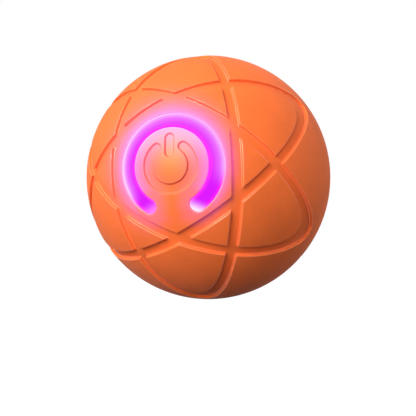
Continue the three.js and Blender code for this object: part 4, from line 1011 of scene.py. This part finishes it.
def moulded(name, colour, roughness=0.5):
    """Moulded plastic with the fine texture of its mould."""
    material, shader = new_finish(name, colour, roughness)
    mottled(material, shader, colour, amount=0.06, scale=180.0)
    uneven_gloss(material, shader, roughness - 0.08, roughness + 0.08, scale=400.0)
    grained(material, shader, scale=3500.0, strength=0.15, depth=0.03)
    return material


def metal(name, colour, low, high, stretch, scale, depth):
    """Worked metal. The stretch gives the direction of its drawing or turning marks."""
    material, shader = new_finish(name, colour, (low + high) / 2, 1.0)
    mottled(material, shader, colour, 0.08, scale / 6, stretch)
    uneven_gloss(material, shader, low, high, scale, stretch)
    grained(material, shader, scale, 0.25, depth, stretch)
    return material


def board_mask():
    """Green solder mask over copper tracks."""
    colour = (0.015, 0.16, 0.06)
    material, shader = new_finish("board mask", colour, 0.35)
    turned = {"Vector": place_in_ball(material), "Rotation": (math.pi / 2, 0, 0)}
    place = add(material, "ShaderNodeMapping", turned).outputs[0]
    bricks = {"Vector": place, "Scale": 260.0, "Mortar Size": 0.06, "Mortar Smooth": 0.3}
    made = add(material, "ShaderNodeTexBrick", bricks, offset=0.37, squash=0.6, squash_frequency=3)
    tracks = made.outputs["Fac"]
    tone = mottled(material, shader, colour, amount=0.1, scale=200.0)
    connect(material, shader, {"Base Color": blended(material, tracks, tone, (0.04, 0.3, 0.1))})
    relief(material, shader, tracks, strength=0.4, depth=0.05)
    return material


def pouch_foil():
    """Dull foil with the creases of a heat-sealed pouch."""
    colour = (0.5, 0.55, 0.62)
    material, shader = new_finish("pouch foil", colour, 0.4, 1.0)
    mottled(material, shader, colour, amount=0.08, scale=90.0)
    uneven_gloss(material, shader, 0.32, 0.5, scale=220.0)
    cells = {"Vector": place_in_ball(material), "Scale": 300.0}
    creases = add(material, "ShaderNodeTexVoronoi", cells, feature="DISTANCE_TO_EDGE")
    relief(material, shader, creases.outputs["Distance"], strength=0.25, depth=0.15)
    return material


def cast_zinc():
    """Die-cast metal with fine pits and flow marks."""
    colour = (0.36, 0.37, 0.38)
    material, shader = new_finish("cast zinc", colour, 0.5, 1.0)
    mottled(material, shader, colour, amount=0.12, scale=120.0, stretch=(1.0, 2.5, 1.0))
    uneven_gloss(material, shader, 0.42, 0.62, scale=500.0)
    pits = add(material, "ShaderNodeTexVoronoi", {"Vector": place_in_ball(material), "Scale": 1400.0})
    pit_depth = ramp(material, pits.outputs["Distance"], [(0.0, grey(0.0)), (0.25, grey(1.0))])
    relief(material, shader, pit_depth, strength=0.3, depth=0.05)
    return material


def lit_chip(colours):
    """A small light's clear top, glowing unevenly."""
    colour = (0.6, 0.3, 0.7)
    material, shader = new_finish("lit chip", colour, 0.25)
    cloud = noise(material, scale=900.0, detail=2.0, roughness=0.5)
    glow = ramp(material, cloud, [(0.3, colours.ring_core), (0.7, colours.ring_edge)])
    connect(material, shader, {"Emission Color": glow, "Emission Strength": 1.0})
    return material


def inner_finishes(colours):
    """A finish for each material slot of the pieces that keep their CAD shape."""
    turned_marks = (1.0, 14.0, 1.0)
    return {
        "white_shell": moulded("warm white plastic", (0.80, 0.77, 0.70)),
        "dark_gasket": moulded("black rubber", (0.02, 0.02, 0.022), 0.7),
        "grey_frame": moulded("dark grey plastic", (0.045, 0.047, 0.055)),
        "white_gear": moulded("ivory gear plastic", (0.78, 0.76, 0.68), 0.35),
        "green_board": board_mask(),
        "black_plastic": moulded("black plastic", (0.014, 0.014, 0.016), 0.4),
        "grey_plastic": moulded("mid grey plastic", (0.28, 0.29, 0.31), 0.45),
        "led_body": lit_chip(colours),
        "red_sleeve": moulded("red sleeve", (0.5, 0.025, 0.018), 0.4),
        "black_sleeve": moulded("black sleeve", (0.012, 0.012, 0.014), 0.4),
        "battery_foil": pouch_foil(),
        "zinc_weight": cast_zinc(),
        "brass_parts": metal("turned brass", (0.75, 0.52, 0.2), 0.22, 0.36, turned_marks, 700.0, 0.01),
        "arm_steel": metal("stamped steel", (0.45, 0.46, 0.48), 0.34, 0.5, (1.0, 1.0, 9.0), 500.0, 0.02),
        "steel_parts": metal("plated steel", (0.6, 0.61, 0.63), 0.2, 0.34, turned_marks, 900.0, 0.01),
    }


def finish_for(slot_name):
    """The finish made for a slot by the inner parts' operator."""
    return bpy.data.materials[SLOT_FINISHES[slot_name]]


def settle(piece, material, body, slot_name, *replaced):
    """Gives a new piece its finish and its body. Its slot name is not used."""
    piece.data.materials.append(material)
    if body:
        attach(piece, body)
    if replaced:
        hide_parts(*replaced)


# Operators


class CATBALL_OT_front_cover(bpy.types.Operator):
    """Build the soft front cover with its looped grooves and the light ring's hole"""

    bl_idname = "catball.front_cover"
    bl_label = "Front Cover"

    def execute(self, context):
        piece = front_cover_piece(context.scene.cat_ball_sizes)
        settle(piece, skin_finish(context.scene), "ball", "orange_silicone", "front_cover")
        return {"FINISHED"}


class CATBALL_OT_rear_cover(bpy.types.Operator):
    """Build the soft rear cover with its looped grooves and the charging port"""

    bl_idname = "catball.rear_cover"
    bl_label = "Rear Cover"

    def execute(self, context):
        piece = rear_cover_piece(context.scene.cat_ball_sizes)
        settle(piece, skin_finish(context.scene), "ball", "orange_silicone", "rear_cover")
        return {"FINISHED"}


class CATBALL_OT_power_button(bpy.types.Operator):
    """Build the soft power button, joined by a neck across the light ring's gap"""

    bl_idname = "catball.power_button"
    bl_label = "Power Button"

    def execute(self, context):
        piece = power_button_piece()
        settle(piece, skin_finish(context.scene), None, "orange_silicone", "power_button")
        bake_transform(piece)
        return {"FINISHED"}


class CATBALL_OT_light_ring(bpy.types.Operator):
    """Build the lit ring with its flange"""

    bl_idname = "catball.light_ring"
    bl_label = "Light Ring"

    def execute(self, context):
        piece = light_ring_piece()
        settle(piece, lit_lens(context.scene.cat_ball_colours), "ball", "light_ring_lens", "light_ring")
        return {"FINISHED"}


class CATBALL_OT_charge_socket(bpy.types.Operator):
    """Build the charging socket's drawn tube, its moulded tongue and its contacts"""

    bl_idname = "catball.charge_socket"
    bl_label = "Charging Socket"

    def execute(self, context):
        insert, contacts = socket_insert_pieces()
        settle(socket_shell_piece(), finish_for("steel_parts"), "ball", "steel_parts", "charge_socket")
        settle(insert, finish_for("black_plastic"), "ball", "black_plastic", "socket_tongue")
        settle(contacts, finish_for("brass_parts"), "ball", "brass_parts")
        return {"FINISHED"}


class CATBALL_OT_inner_parts(bpy.types.Operator):
    """Give the shells, the boards and the drive inside the ball their finishes"""

    bl_idname = "catball.inner_parts"
    bl_label = "Inner Parts"

    def execute(self, context):
        finishes = inner_finishes(context.scene.cat_ball_colours)
        for slot_name, material in finishes.items():
            SLOT_FINISHES[slot_name] = material.name
        for subpart in frame["record"]["subparts"]:
            material = finishes.get(subpart["material_slot"])
            if material:
                for material_slot in frame["nodes"][subpart["node"]].material_slots:
                    material_slot.link = "OBJECT"
                    material_slot.material = material
        return {"FINISHED"}


class CATBALL_OT_stage(bpy.types.Operator):
    """Lay the pale floor, hang the lamps and set up the camera"""

    bl_idname = "catball.stage"
    bl_label = "Stage"

    def execute(self, context):
        scene = context.scene
        scene.view_settings.view_transform = "Standard"
        lay_floor()
        light_world(scene)
        for name, direction, size, power in LAMPS:
            hang_lamp(name, direction, size, power)
        place_camera(scene)
        return {"FINISHED"}


def skin_finish(scene):
    """The covers and the button share one finish."""
    found = bpy.data.materials.get("orange silicone")
    return found or silicone(scene.cat_ball_sizes, scene.cat_ball_colours)


# The stage


def seen_directly(material):
    """One where the camera, a gloss or a clear body sees the surface, and zero for soft light."""
    rays = add(material, "ShaderNodeLightPath").outputs
    seen = Level(material, rays["Is Camera Ray"])
    return seen.at_least(rays["Is Glossy Ray"]).at_least(rays["Is Transmission Ray"])


def lay_floor():
    corners = np.array(((-1, -1, 0), (1, -1, 0), (1, 1, 0), (-1, 1, 0)))
    floor = new_mesh("floor", corners * FLOOR_REACH, [(0, 1, 2, 3)])
    floor.location.z = -BALL_RADIUS * MM
    material, shader = new_finish("pale floor", grey(0.1), 0.9)
    connect(material, shader, {"Specular IOR Level": 0.0})
    white = add(material, "ShaderNodeEmission", {"Color": grey(1.0), "Strength": FLOOR_WHITE})
    pale = add(material, "ShaderNodeBsdfDiffuse", {"Color": grey(1.0)})
    kept = {0: FLOOR_SHADE, 1: white.outputs[0], 2: pale.outputs[0]}
    seen = {0: seen_directly(material), 1: shader.outputs[0]}
    seen[2] = add(material, "ShaderNodeMixShader", kept).outputs[0]
    surface = add(material, "ShaderNodeMixShader", seen).outputs[0]
    connect(material, material.node_tree.nodes["Material Output"], {"Surface": surface})
    floor.data.materials.append(material)


def light_world(scene):
    world = bpy.data.worlds.new("studio")
    world.use_nodes = True
    scene.world = world
    background = world.node_tree.nodes["Background"]
    connect(world, background, {"Color": grey(1.0), "Strength": seen_directly(world)})


def hang_lamp(name, direction, size, power):
    data = bpy.data.lights.new(name, "AREA")
    data.shape = "DISK"
    data.size = size
    data.energy = power
    lamp = bpy.data.objects.new(name, data)
    lamp.location = Vector(direction).normalized() * LAMP_DISTANCE
    lamp.rotation_euler = Vector(direction).to_track_quat("Z", "Y").to_euler()
    bpy.context.scene.collection.objects.link(lamp)


def place_camera(scene):
    data = bpy.data.cameras.new("camera")
    data.lens = CAMERA_LENS
    data.sensor_width = 36.0
    data.clip_start = 0.01
    data.shift_x, data.shift_y = CAMERA_SHIFT
    camera = bpy.data.objects.new("camera", data)
    azimuth = math.radians(CAMERA_AZIMUTH)
    elevation = math.radians(CAMERA_ELEVATION)
    level = math.cos(elevation)
    back = Vector((math.sin(azimuth) * level, -math.cos(azimuth) * level, math.sin(elevation)))
    upright = back.to_track_quat("Z", "Y").to_matrix()
    lean = Matrix.Rotation(math.radians(CAMERA_LEAN), 3, back)
    camera.matrix_world = Matrix.Translation(back * CAMERA_DISTANCE) @ (lean @ upright).to_4x4()
    scene.collection.objects.link(camera)
    scene.camera = camera


class CATBALL_PT_sidebar(bpy.types.Panel):
    bl_idname = "CATBALL_PT_sidebar"
    bl_label = "Cat Ball"
    bl_space_type = "VIEW_3D"
    bl_region_type = "UI"
    bl_category = "Cat Ball"

    def draw(self, context):
        for group in (context.scene.cat_ball_sizes, context.scene.cat_ball_colours):
            for name in group.__annotations__:
                self.layout.prop(group, name)
        for operator in OPERATORS:
            self.layout.operator(operator.bl_idname)


OPERATORS = (
    CATBALL_OT_inner_parts,
    CATBALL_OT_front_cover,
    CATBALL_OT_rear_cover,
    CATBALL_OT_power_button,
    CATBALL_OT_light_ring,
    CATBALL_OT_charge_socket,
    CATBALL_OT_stage,
)
CLASSES = (CatBallSizes, CatBallColours, *OPERATORS, CATBALL_PT_sidebar)


def register():
    for cls in CLASSES:
        bpy.utils.register_class(cls)
    bpy.types.Scene.cat_ball_sizes = bpy.props.PointerProperty(type=CatBallSizes)
    bpy.types.Scene.cat_ball_colours = bpy.props.PointerProperty(type=CatBallColours)


def unregister():
    del bpy.types.Scene.cat_ball_colours
    del bpy.types.Scene.cat_ball_sizes
    for cls in reversed(CLASSES):
        bpy.utils.unregister_class(cls)


def main():
    register()
    bpy.ops.catball.inner_parts()
    bpy.ops.catball.front_cover()
    bpy.ops.catball.rear_cover()
    bpy.ops.catball.power_button()
    bpy.ops.catball.light_ring()
    bpy.ops.catball.charge_socket()
    bpy.ops.catball.stage()


if __name__ == "__main__":
    main()
